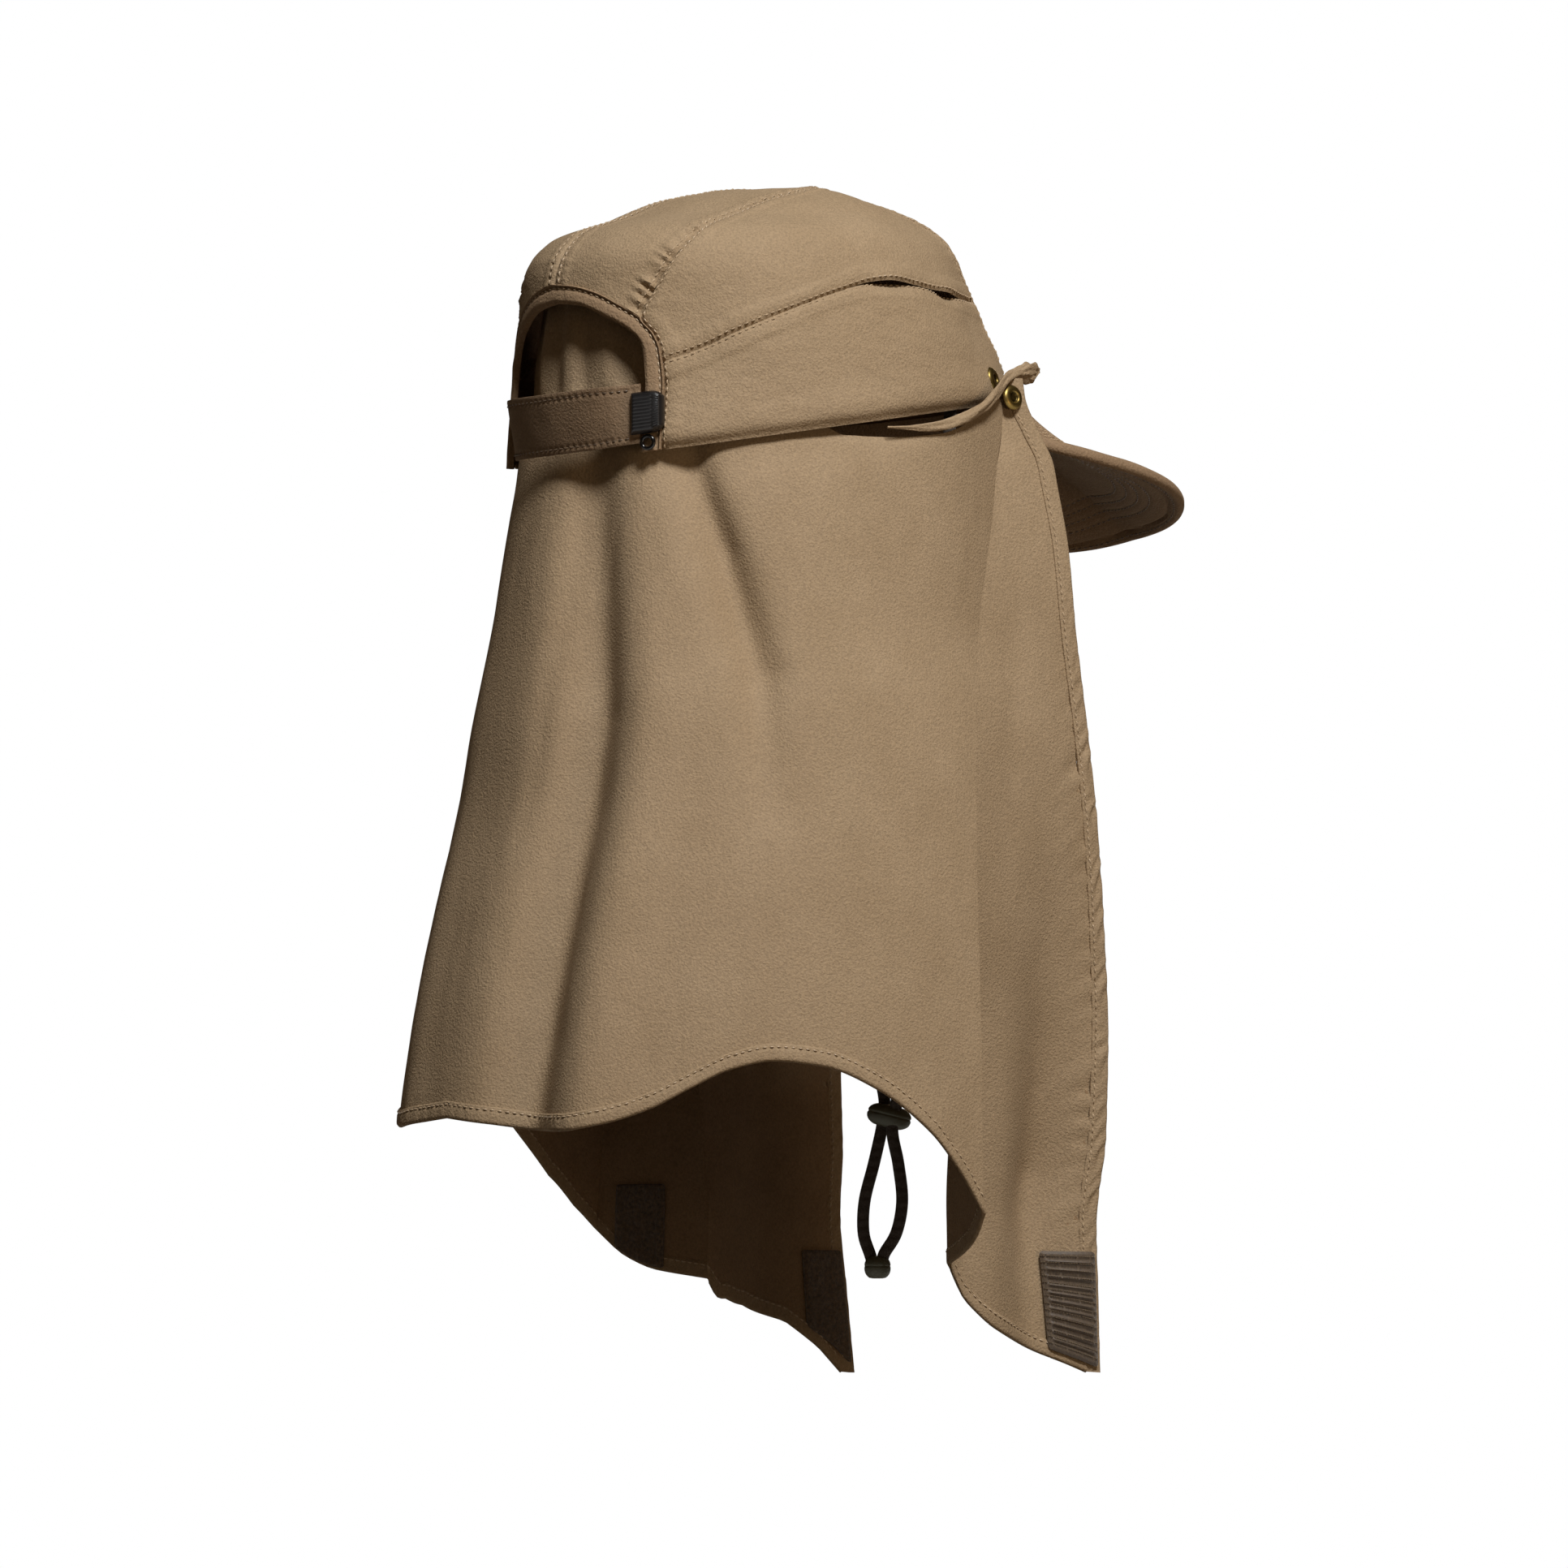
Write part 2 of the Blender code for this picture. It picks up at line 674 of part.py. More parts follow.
def cape_section(part, share, height):
    """A point of the cape's section at one height, for the right side.
    Part is rear, pleat or flap, and share runs along that part."""
    depth = -height / cape_drop
    side = read(cape_levels, "depth", "side", depth) * cape_flare
    rear = read(cape_levels, "depth", "rear", depth) * cape_rear_flare
    crease = read(cape_levels, "depth", "crease", depth)
    pleat = read(cape_levels, "depth", "pleat", depth)

    def rear_point(turn):
        base = crown_at_height(turn, max(height, rim_height(turn)))
        flare = Vector((side * sin(radians(turn)), -rear * cos(radians(turn)), 0.0))
        inside = -cape_inside * ramp(cape_tuck_from, cape_tuck_to, height)
        lap = ramp(lap_rear_turn, lap_front_turn, turn) * ramp(lap_from, lap_to, height)
        out = mix(inside, cape_outside, lap)
        away = Vector((sin(radians(turn)), -cos(radians(turn)), 0.0))
        base.z = 0.0
        return base + flare + away * out

    if part == "rear":
        point = rear_point(share * crease)
    else:
        fold = rear_point(crease)
        corner = fold + Vector((-pleat_depth, pleat_forward, 0.0)) * pleat
        if part == "pleat":
            point = fold.lerp(corner, share)
        else:
            edge = Vector((
                read(cape_levels, "depth", "edge_x", depth) * head_half_width,
                read(cape_levels, "depth", "edge_y", depth) * head_half_length,
                0.0,
            ))
            point = corner.lerp(edge, share)
    point.z = height
    return point


def fold_depth(side, along, depth):
    """How far the soft folds push the cape out at one place."""
    total = 0.0
    for fold in cape_folds:
        if fold.side != side:
            continue
        middle = fold.along + fold.drift * (1 - depth)
        away = (along - middle) / fold.width
        total += fold.depth * max(0.0, depth) * exp(-away * away)
    return total


def cape_border(part, share, which):
    rows = {"rear": cape_borders, "pleat": pleat_borders, "flap": flap_borders}[part]
    size = crown_height if which == "top" else -cape_drop
    return read(rows, "along", which, share) * size


def cape_point(side, part, share, down, inset=0.0):
    """A point of the cape: down is 0 at its top edge and 1 at its hem."""
    top = cape_border(part, share, "top")
    hem = cape_border(part, share, "hem") + inset
    height = mix(top, hem, down)
    point = cape_section(part, share, height)
    if part == "rear":
        turn = radians(share * cape_levels[-1].crease)
        push = fold_depth(side, share, -height / cape_drop) * ramp(1.0, 0.9, share)
        point += Vector((sin(turn), -cos(turn), 0.0)) * push
    if side < 0:
        point.x = -point.x
    return point


def cape_columns():
    """Every column of the cape from its left edge to its right edge."""
    half = [("rear", n / cape_rear_columns) for n in range(cape_rear_columns + 1)]
    half += [("pleat", n / cape_pleat_columns) for n in range(1, cape_pleat_columns + 1)]
    half += [("flap", (n / cape_flap_columns) ** 1.3) for n in range(1, cape_flap_columns + 1)]
    left = [(-1, part, share) for part, share in reversed(half)]
    return left + [(1, part, share) for part, share in half[1:]]


def thicken(front, depth, lift=0.0):
    """Move a grid out by lift, and make its partner at one depth behind."""
    rows, columns = len(front), len(front[0])
    raised, back = [], []
    for r in range(rows):
        raised.append([])
        back.append([])
        for c in range(columns):
            across = front[r][min(c + 1, columns - 1)] - front[r][max(c - 1, 0)]
            down = front[min(r + 1, rows - 1)][c] - front[max(r - 1, 0)][c]
            normal = down.cross(across).normalized()
            raised[-1].append(front[r][c] + normal * lift)
            back[-1].append(front[r][c] + normal * (lift - depth))
    return raised, back


def flap_end(height):
    """Share of the flap where its casing starts."""
    corner = cape_section("flap", 0.0, height)
    edge = cape_section("flap", 1.0, height)
    return 1 - min(0.6, (casing_width + gap) / max((edge - corner).length, casing_width))


def make_cape():
    columns = cape_columns()
    grid = []
    for r in range(cape_rows + 1):
        row = []
        for side, part, share in columns:
            down = r / cape_rows
            if part == "flap":
                height = cape_point(side, part, share, down).z
                share *= flap_end(height)
            row.append(cape_point(side, part, share, down, hem_width + hem_gap))
        grid.append(row)
    front, back = thicken(grid, cloth)
    sheet("cape", front, back, khaki)

    grid = []
    for lift in (hem_width, 0.0):
        row = []
        for side, part, share in columns:
            if part == "flap":
                share *= flap_end(cape_point(side, part, share, 1.0).z)
            hem = cape_border(part, share, "hem")
            point = cape_point(side, part, share, 1.0, lift)
            point.z = hem + lift
            row.append(point)
        grid.append(row)
    front, back = thicken(grid, hem_thickness, (hem_thickness - cloth) / 2)
    sheet("cape_hem", front, back, khaki)

    for side, word in ((1, "right"), (-1, "left")):
        grid = []
        for r in range(cape_rows + 1):
            down = r / cape_rows
            height = cape_point(side, "flap", 1.0, down).z
            width = 1 - flap_end(height)
            ease = 2 * gap / casing_width * width
            start = cape_point(side, "flap", 1 - width + ease, down)
            end = cape_point(side, "flap", 1.0, down)
            grid.append([start, end] if side > 0 else [end, start])
        front, back = thicken(grid, hem_thickness, (hem_thickness - cloth) / 2)
        sheet("front_casing_" + word, front, back, khaki)


def cape_place(side, part, share, height):
    """A point on the cape's outside at a height."""
    top = cape_border(part, share, "top")
    hem = cape_border(part, share, "hem")
    return cape_point(side, part, share, (height - top) / (hem - top))


def tape_patch(name, side, start, end, low, high, outside):
    """A flat piece of touch tape lying on one face of the flap."""
    columns, rows = 3, 4
    grid = []
    for r in range(rows + 1):
        height = mix(high, low, r / rows)
        row = []
        for c in range(columns + 1):
            share = mix(start, end, c / columns)
            row.append(cape_place(side, "flap", share, height))
        grid.append(row if side > 0 else row[::-1])
    lift = (hem_thickness - cloth) / 2 + gap + tape_thickness
    if not outside:
        lift = -(hem_thickness + cloth) / 2 - gap
    front, back = thicken(grid, tape_thickness, lift)
    return sheet(name, front, back, tape)


def make_tapes():
    foot = -cape_drop
    flap_width = (cape_section("flap", 1.0, foot) - cape_section("flap", 0.0, foot)).length
    width = tape_width / flap_width
    low = foot + 2.5 * hem_width
    tape_patch("hook_strip", 1, 0.97 - width, 0.97, low, low + tape_length, True)
    tape_patch("loop_strip", -1, 0.97 - width, 0.97, low, low + tape_length, False)
    inner = foot + pleat_forward + 3 * hem_width
    tape_patch("hook_patch", 1, 0.02, 0.02 + width / 2, inner, inner + tape_length, False)
    tape_patch("loop_patch", -1, 0.08, 0.08 + width, inner, inner + tape_length, False)


def sweep(name, points, width, height, finish_material, sides=8):
    """A closed oval tube along a list of points."""
    mesh = bmesh.new()
    loops = []
    for n, point in enumerate(points):
        before, after = points[max(n - 1, 0)], points[min(n + 1, len(points) - 1)]
        ahead = (after - before).normalized()
        outward = Vector((point.x, point.y, 0.0)).normalized()
        up = ahead.cross(outward).normalized()
        outward = up.cross(ahead).normalized()
        loop = []
        for m in range(sides):
            angle = 2 * pi * m / sides
            place = point + outward * cos(angle) * width / 2 + up * sin(angle) * height / 2
            loop.append(mesh.verts.new(place))
        loops.append(loop)
    for first, second in zip(loops, loops[1:]):
        for m in range(sides):
            o = (m + 1) % sides
            mesh.faces.new((first[m], first[o], second[o], second[m]))
    mesh.faces.new(loops[0])
    mesh.faces.new(loops[-1])
    return finish(name, mesh, finish_material)


def snap(name, middle, facing, finish_material):
    """A turned snap cap: a ring with a sunk centre."""
    radius = snap_diameter / 2
    # Share of the radius, and share of the thickness
    profile = (
        (0.0, 0.45), (0.42, 0.45), (0.5, 0.8), (0.72, 1.0),
        (0.92, 0.75), (1.0, 0.35), (1.0, 0.0), (0.0, 0.0),
    )
    sides = 12
    mesh = bmesh.new()
    spin = facing.to_track_quat("Z", "Y")
    loops = []
    for share, height in profile:
        if share == 0.0:
            loops.append([mesh.verts.new(middle + spin @ Vector((0, 0, height * snap_thickness)))])
            continue
        loop = []
        for n in range(sides):
            angle = 2 * pi * n / sides
            place = Vector((share * radius * cos(angle), share * radius * sin(angle),
                            height * snap_thickness))
            loop.append(mesh.verts.new(middle + spin @ place))
        loops.append(loop)
    for first, second in zip(loops, loops[1:]):
        for n in range(sides):
            o = (n + 1) % sides
            if len(first) == 1:
                mesh.faces.new((first[0], second[n], second[o]))
            elif len(second) == 1:
                mesh.faces.new((first[n], second[0], first[o]))
            else:
                mesh.faces.new((first[n], second[n], second[o], first[o]))
    return finish(name, mesh, finish_material)


def make_corners():
    """The rolled top corners of the cape, and the snaps that hold them."""
    for side, word in ((1, "right"), (-1, "left")):
        points = []
        steps = 16
        for n in range(steps + 1):
            place = mix(roll_rows[0].turn, roll_rows[-1].turn, n / steps)
            height = read(roll_rows, "turn", "height", place) * crown_height
            out = read(roll_rows, "turn", "out", place)
            point = crown_at_height(place, height, out + roll_thickness / 2)
            point.x *= side
            points.append(point)
        sweep("corner_roll_" + word, points, roll_thickness, roll_height, khaki)

        place = cape_place(side, "flap", snap_share, snap_level)
        forward = cape_place(side, "flap", snap_share + 0.1, snap_level) - place
        down = cape_place(side, "flap", snap_share, snap_level - 2 * mm) - place
        facing = down.cross(forward).normalized() * side
        snap("snap_" + word, place + facing * (gap + snap_clear), facing, brass)

        share = socket_level / crown_height / level_height * crown_rings[1].rise
        place = crown_point(side * socket_turn, share, gap)
        facing = crown_point(side * socket_turn, share, mm) - place
        snap("snap_socket_" + word, place, facing.normalized(), brass)


def smooth_route(points, steps):
    """A smooth curve through chosen points, with steps to each span."""
    places = [Vector(point) for point in points]
    ends = [places[0] * 2 - places[1]] + places + [places[-1] * 2 - places[-2]]
    route = []
    for n in range(1, len(ends) - 2):
        a, b, c, d = ends[n - 1:n + 3]
        for step in range(steps):
            t = step / steps
            route.append(0.5 * (
                2 * b + (c - a) * t + (2 * a - 5 * b + 4 * c - d) * t * t
                + (3 * b - a - 3 * c + d) * t ** 3))
    route.append(places[-1])
    return route


def cord(name, points, steps):
    """One plain round tube for a stretch of the chin cord."""
    route = smooth_route(points, steps)
    data = bpy.data.curves.new(name, "CURVE")
    data.dimensions = "3D"
    data.bevel_depth = cord_thickness / 2
    data.bevel_resolution = 2
    data.use_fill_caps = True
    spline = data.splines.new("POLY")
    spline.points.add(len(route) - 1)
    for place, point in zip(spline.points, route):
        place.co = (*point, 1.0)
    data.materials.append(cord_brown)
    made = bpy.data.objects.new(name, data)
    bpy.context.scene.collection.objects.link(made)
    return made


def pebble(name, middle, size, heading, tilt, finish_material):
    """A smooth rounded body with a flat top and bottom for the cords."""
    mesh = bmesh.new()
    bmesh.ops.create_uvsphere(mesh, u_segments=12, v_segments=8, radius=0.5)
    for vertex in mesh.verts:
        vertex.co.z = max(-0.4, min(0.4, vertex.co.z)) * 1.25
    bmesh.ops.dissolve_limit(mesh, angle_limit=radians(0.5), verts=mesh.verts[:],
                             edges=mesh.edges[:])
    turn = Matrix.Rotation(heading, 4, "Z") @ Matrix.Rotation(tilt, 4, "Y")
    turn @= Matrix.Diagonal((*size, 1.0))
    bmesh.ops.transform(mesh, matrix=Matrix.Translation(middle) @ turn, verts=mesh.verts[:])
    return finish(name, mesh, finish_material)


def make_chin_cord():
    left_route = [(-x, y, z) for x, y, z in right_cord_route]
    cord("chin_cord_right", right_cord_route, 3)
    cord("chin_cord_left", left_route, 3)
    cord("chin_loop_near", near_loop_route, 3)
    cord("chin_loop_far", far_loop_route, 3)
    pebble("cord_lock", lock_centre, (lock_length, lock_depth, lock_height),
           cord_heading, lock_tilt, grey_plastic)
    pebble("cord_bead", bead_centre, (bead_width, bead_depth, bead_height),
           cord_heading, 0.0, grey_plastic)


make_crown()
make_arch_binding()
make_strap()
make_peak()
make_cape()
make_tapes()
make_corners()
make_chin_cord()
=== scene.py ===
# Legionnaire cap, dressed for the render: soft crown, rear strap, peak, long
# neck cape, rolled corners, snaps, touch tape and a chin cord.
from math import cos, degrees, exp, pi, radians, sin, tan

import bpy
import numpy as np
from mathutils import Matrix, Vector, noise


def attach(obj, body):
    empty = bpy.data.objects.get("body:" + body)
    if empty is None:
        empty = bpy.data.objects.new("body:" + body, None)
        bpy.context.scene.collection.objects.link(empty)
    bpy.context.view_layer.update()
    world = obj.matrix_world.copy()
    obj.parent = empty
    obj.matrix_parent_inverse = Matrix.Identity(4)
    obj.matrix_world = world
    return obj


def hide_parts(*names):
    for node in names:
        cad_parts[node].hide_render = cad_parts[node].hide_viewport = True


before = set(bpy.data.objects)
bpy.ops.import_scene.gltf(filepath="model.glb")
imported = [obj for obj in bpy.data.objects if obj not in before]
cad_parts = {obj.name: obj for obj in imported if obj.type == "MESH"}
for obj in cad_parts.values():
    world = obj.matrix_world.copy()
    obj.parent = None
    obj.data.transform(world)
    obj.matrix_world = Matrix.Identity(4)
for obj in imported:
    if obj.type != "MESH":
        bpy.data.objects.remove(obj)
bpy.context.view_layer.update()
mm = 0.001
body = "root"

# numbers and tables shared by several pieces

head = dict(halfWidth=80 * mm, halfLength=103 * mm, crownHeight=93.5 * mm,
            rimPitch=radians(9.65), levelHeight=0.25, panelTop=0.992)

crownRings = dict(
    rise=[0, 0.15, 0.30, 0.45, 0.55, 0.65, 0.78, 0.90, 1.0],
    height=[0, 0.25, 0.46, 0.63, 0.735, 0.82, 0.90, 0.972, 1.0],
    size=[1.0, 0.97, 0.915, 0.862, 0.80, 0.672, 0.54, 0.30, 0.0],
    shift=[0, -0.004, -0.032, -0.058, -0.034, 0.047, 0.076, 0.130, 0.170])
sideStart = dict(
    rise=[0, 0.09, 0.143, 0.19, 0.237, 0.315, 0.41, 0.515, 0.63, 0.70, 0.79, 0.90, 1.0],
    turn=[36, 36.5, 35.5, 33.5, 30.2, 33.5, 38.2, 43, 47, 52, 62, 84, 98])
sideEnd = dict(
    rise=[0, 0.20, 0.38, 0.50, 0.60, 0.68, 0.74, 0.80, 0.88, 1.0],
    turn=[147, 146, 144.5, 141.5, 138, 133.5, 127, 121, 117, 116])
pocketSeam = dict(
    turn=[30, 36.2, 43.5, 53.5, 66.5, 80, 90, 98, 121, 150],
    rise=[0.115, 0.130, 0.147, 0.195, 0.260, 0.328, 0.370, 0.381, 0.372, 0.380])
archSeam = dict(turn=[0, 8, 16, 24.5, 30.2], rise=[0.365, 0.352, 0.325, 0.276, 0.237])
archEdge = dict(
    along=[0, 0.22, 0.42, 0.55, 0.66, 0.76, 0.87, 1.0],
    turn=[0, 10, 20.5, 26.8, 29.8, 31.2, 31.8, 31.3],
    rise=[0.300, 0.287, 0.240, 0.203, 0.172, 0.135, 0.085, 0.0])
archCorner = 0.55

capeCut = dict(drop=353 * mm, flare=39 * mm, rearFlare=45 * mm, inside=5.4 * mm, outside=5.9 * mm,
               tuck=(-12 * mm, 6 * mm), lapTurn=(78.0, 108.0), lapHeight=(-90 * mm, -5 * mm),
               pleatDepth=45 * mm, pleatForward=19.5 * mm, cloth=0.8 * mm, underRim=2.6 * mm,
               hemWidth=6.5 * mm, hemLap=1.2 * mm, casingWidth=6.5 * mm, bandThickness=2.0 * mm,
               rimReach=11 * mm, rimFrom=(0.2, 0.34), rimTo=(0.70, 0.80))
capeLevels = dict(
    depth=[-0.2, -0.04, 0, 0.031, 0.055, 0.125, 0.21, 0.32, 0.40, 0.53, 0.643, 0.745, 0.835, 0.91,
           1.01],
    side=[-0.08, -0.08, -0.05, -0.03, -0.01, 0.08, 0.20, 0.43, 0.56, 0.74, 0.85, 0.93, 0.98, 1, 1],
    rear=[-0.06, -0.08, -0.10, -0.11, -0.09, 0, 0.11, 0.27, 0.37, 0.64, 0.84, 0.96, 1, 1, 1],
    crease=[134, 128, 126.5, 124, 122, 117, 111, 104, 101, 97.5, 96, 95, 94.5, 94.5, 94.5],
    pleat=[0.02, 0.02, 0.03, 0.03, 0.04, 0.06, 0.10, 0.20, 0.30, 0.50, 0.74, 0.90, 1, 1, 1],
    edgeX=[0.825, 0.844, 0.869, 0.90, 0.912, 0.944, 0.969, 0.994, 1.006, 1.013, 1.013, 0.998,
           0.970, 0.950, 0.925],
    edgeY=[0.670, 0.709, 0.762, 0.805, 0.817, 0.850, 0.867, 0.908, 0.937, 0.971, 0.990, 0.990,
           0.962, 0.980, 1.005])
capeBorders = dict(
    rear=dict(along=[0, 0.10, 0.19, 0.28, 0.35, 0.43, 0.50, 0.56, 0.63, 0.71, 0.80, 0.90, 0.955, 1],
              top=[0.64, 0.64, 0.62, 0.56, 0.40, 0.19, 0.07, 0, -0.075, -0.075, -0.055, 0.04,
                   0.125, 0.18],
              hem=[0.737, 0.744, 0.751, 0.753, 0.747, 0.731, 0.708, 0.690, 0.681, 0.686, 0.708,
                   0.753, 0.794, 0.837]),
    pleat=dict(along=[0, 0.25, 0.50, 1], top=[0.18, 0.182, 0.184, 0.186],
               hem=[0.837, 0.861, 0.873, 0.887]),
    flap=dict(along=[0, 0.08, 0.16, 0.30, 0.63, 1], top=[0.186, 0.190, 0.195, 0.202, 0.212, 0.22],
              hem=[0.887, 0.918, 0.934, 0.953, 0.974, 1.0]))


# small helpers

def smoothCurve(table, key, value, samples=900):
    # a curve through a table's rows that doesn't overshoot them
    keys, values = [float(k) for k in table[key]], [float(v) for v in table[value]]
    slopes = [(b - a) / (q - p) for a, b, p, q in zip(values, values[1:], keys, keys[1:])]
    ends = [slopes[0]]
    for before, after in zip(slopes, slopes[1:]):
        ends.append(0.0 if before * after <= 0 else 2 * before * after / (before + after))
    ends.append(slopes[-1])
    places = np.linspace(keys[0], keys[-1], samples)
    index = np.clip(np.searchsorted(keys, places, side="right") - 1, 0, len(keys) - 2)
    keys, values, ends = np.array(keys), np.array(values), np.array(ends)
    span = keys[index + 1] - keys[index]
    t = (places - keys[index]) / span
    result = ((2 * t ** 3 - 3 * t ** 2 + 1) * values[index]
              + (t ** 3 - 2 * t ** 2 + t) * span * ends[index]
              + (3 * t ** 2 - 2 * t ** 3) * values[index + 1]
              + (t ** 3 - t ** 2) * span * ends[index + 1])
    return lambda place: np.interp(place, places, result)


def mix(first, second, share):
    return first + (second - first) * share


def ramp(start, end, place):
    share = np.clip((place - start) / (end - start), 0.0, 1.0)
    return share * share * (3 - 2 * share)


def bell(distance, width):
    return np.exp(-(distance / width) ** 2)


def noiseField(points, size, stretch=(1, 1, 1), seed=0.0):
    # soft noise from -1 to 1 with features of one real size
    flat = points.reshape(-1, 3) / size * np.array(stretch) + seed
    values = np.array([noise.noise(Vector(p)) for p in flat])
    return values.reshape(points.shape[:-1])


def normalsOf(grid, outward):
    # grid normals, turned to the side where outward points
    across = np.gradient(grid, axis=1)
    down = np.gradient(grid, axis=0)
    normal = np.cross(across, down)
    normal /= np.maximum(np.linalg.norm(normal, axis=-1, keepdims=True), 1e-9)
    if (normal * outward).sum() < 0:
        normal = -normal
    return normal


def distanceAlong(grid, axis):
    # arc length from the first row or column
    steps = np.linalg.norm(np.diff(grid, axis=axis), axis=-1)
    first = np.zeros_like(steps.take([0], axis=axis))
    return np.concatenate([first, np.cumsum(steps, axis=axis)], axis=axis)


def addPiece(name, points, faces, finishes, replaced=(), faceFinish=None, sharp=50):
    data = bpy.data.meshes.new(name)
    data.from_pydata([tuple(p) for p in points], [], faces)
    data.update()
    data.shade_smooth()
    data.set_sharp_from_angle(angle=radians(sharp))
    for finish in finishes:
        data.materials.append(finish)
    if faceFinish is not None:
        data.polygons.foreach_set("material_index", faceFinish)
    piece = bpy.data.objects.new(name, data)
    bpy.context.scene.collection.objects.link(piece)
    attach(piece, body)
    if replaced:
        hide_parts(*replaced)
    return piece


def gridFaces(rows, columns, start=0, flip=False, wrap=False):
    faces = []
    for r in range(rows - 1):
        for c in range(columns if wrap else columns - 1):
            d = (c + 1) % columns
            quad = (start + r * columns + c, start + r * columns + d,
                    start + (r + 1) * columns + d, start + (r + 1) * columns + c)
            faces.append(quad[::-1] if flip else quad)
    return faces


def clothPiece(name, outer, inner, finishes, replaced=()):
    # two faces of cloth joined round their edge; the second finish is for the inner face
    rows, columns = outer.shape[:2]
    count = rows * columns
    row, column = rows // 2, columns // 2
    here = outer[row, column]
    across, down = outer[row, column + 1] - here, outer[row + 1, column] - here
    flip = np.dot(np.cross(across, down), here - inner[row, column]) < 0
    faces = gridFaces(rows, columns, 0, flip) + gridFaces(rows, columns, count, not flip)
    finishIndex = [0] * (len(faces) // 2) + [min(1, len(finishes) - 1)] * (len(faces) // 2)
    edge = list(range(columns)) + [r * columns + columns - 1 for r in range(1, rows)]
    edge += [(rows - 1) * columns + c for c in range(columns - 2, -1, -1)]
    edge += [r * columns for r in range(rows - 2, 0, -1)]
    for a, b in zip(edge, edge[1:] + edge[:1]):
        quad = (b, a, a + count, b + count)
        faces.append(quad[::-1] if flip else quad)
        finishIndex.append(0)
    points = np.concatenate([outer.reshape(-1, 3), inner.reshape(-1, 3)])
    return addPiece(name, points, faces, finishes, replaced, finishIndex)


def ringPiece(name, route, profile, finishes, replaced, upHint):
    # sweep a closed profile along a route that meets its own start
    points, rows = [], len(route)
    up = Vector(upHint)
    for n, place in enumerate(route):
        ahead = Vector(route[min(n + 1, rows - 1)]) - Vector(route[max(n - 1, 0)])
        ahead.normalize()
        across = ahead.cross(up).normalized()
        up = across.cross(ahead).normalized()
        points.extend(Vector(place) + across * x + up * y for x, y in profile)
    faces = gridFaces(rows, len(profile), 0, True, True)
    return addPiece(name, points, faces, finishes, replaced)


def lathe(profile, middle, facing, sides=40):
    # turn a list of (radius, height) pairs round an axis
    spin = Vector(facing).to_track_quat("Z", "Y")
    points = []
    for radius, height in profile:
        for n in range(sides):
            angle = 2 * pi * n / sides
            points.append(Vector(middle) + spin @ Vector((radius * cos(angle), radius * sin(angle),
                                                          height)))
    faces = gridFaces(len(profile), sides, 0, False, True)
    faces.append(tuple(range(sides - 1, -1, -1)))
    faces.append(tuple(range((len(profile) - 1) * sides, len(profile) * sides)))
    return points, faces


def resample(route, step):
    route = np.array(route, float)
    along = np.concatenate([[0], np.cumsum(np.linalg.norm(np.diff(route, axis=0), axis=1))])
    count = max(2, int(round(along[-1] / step)) + 1)
    places = np.linspace(0, along[-1], count)
    return np.stack([np.interp(places, along, route[:, k]) for k in range(3)], axis=1)


def swapped(*grids):
    # the same grids with rows for columns
    return [np.swapaxes(grid, 0, 1) for grid in grids]


def smoothRoute(points, steps):
    places = [Vector(p) for p in points]
    ends = [places[0] * 2 - places[1]] + places + [places[-1] * 2 - places[-2]]
    route = []
    for n in range(1, len(ends) - 2):
        a, b, c, d = ends[n - 1:n + 3]
        for step in range(steps):
            t = step / steps
            route.append(0.5 * (2 * b + (c - a) * t + (2 * a - 5 * b + 4 * c - d) * t * t
                                + (3 * b - a - 3 * c + d) * t ** 3))
    return route + [places[-1]]


# materials

def linearColour(hexText):
    parts = [int(hexText[n:n + 2], 16) / 255 for n in (0, 2, 4)]
    return tuple(p / 12.92 if p <= 0.04045 else ((p + 0.055) / 1.055) ** 2.4 for p in parts) + (1.0,)


def setInputs(tree, node, inputs):
    for socket, value in inputs.items():
        if isinstance(value, bpy.types.NodeSocket):
            tree.links.new(value, node.inputs[socket])
        else:
            node.inputs[socket].default_value = value


def addNode(tree, kind, inputs=None, **settings):
    node = tree.nodes.new(kind)
    for name, value in settings.items():
        setattr(node, name, value)
    setInputs(tree, node, inputs or {})
    return node


def newMaterial(name):
    material = bpy.data.materials.new(name)
    material.use_nodes = True
    tree = material.node_tree
    return material, tree, tree.nodes["Principled BSDF"]


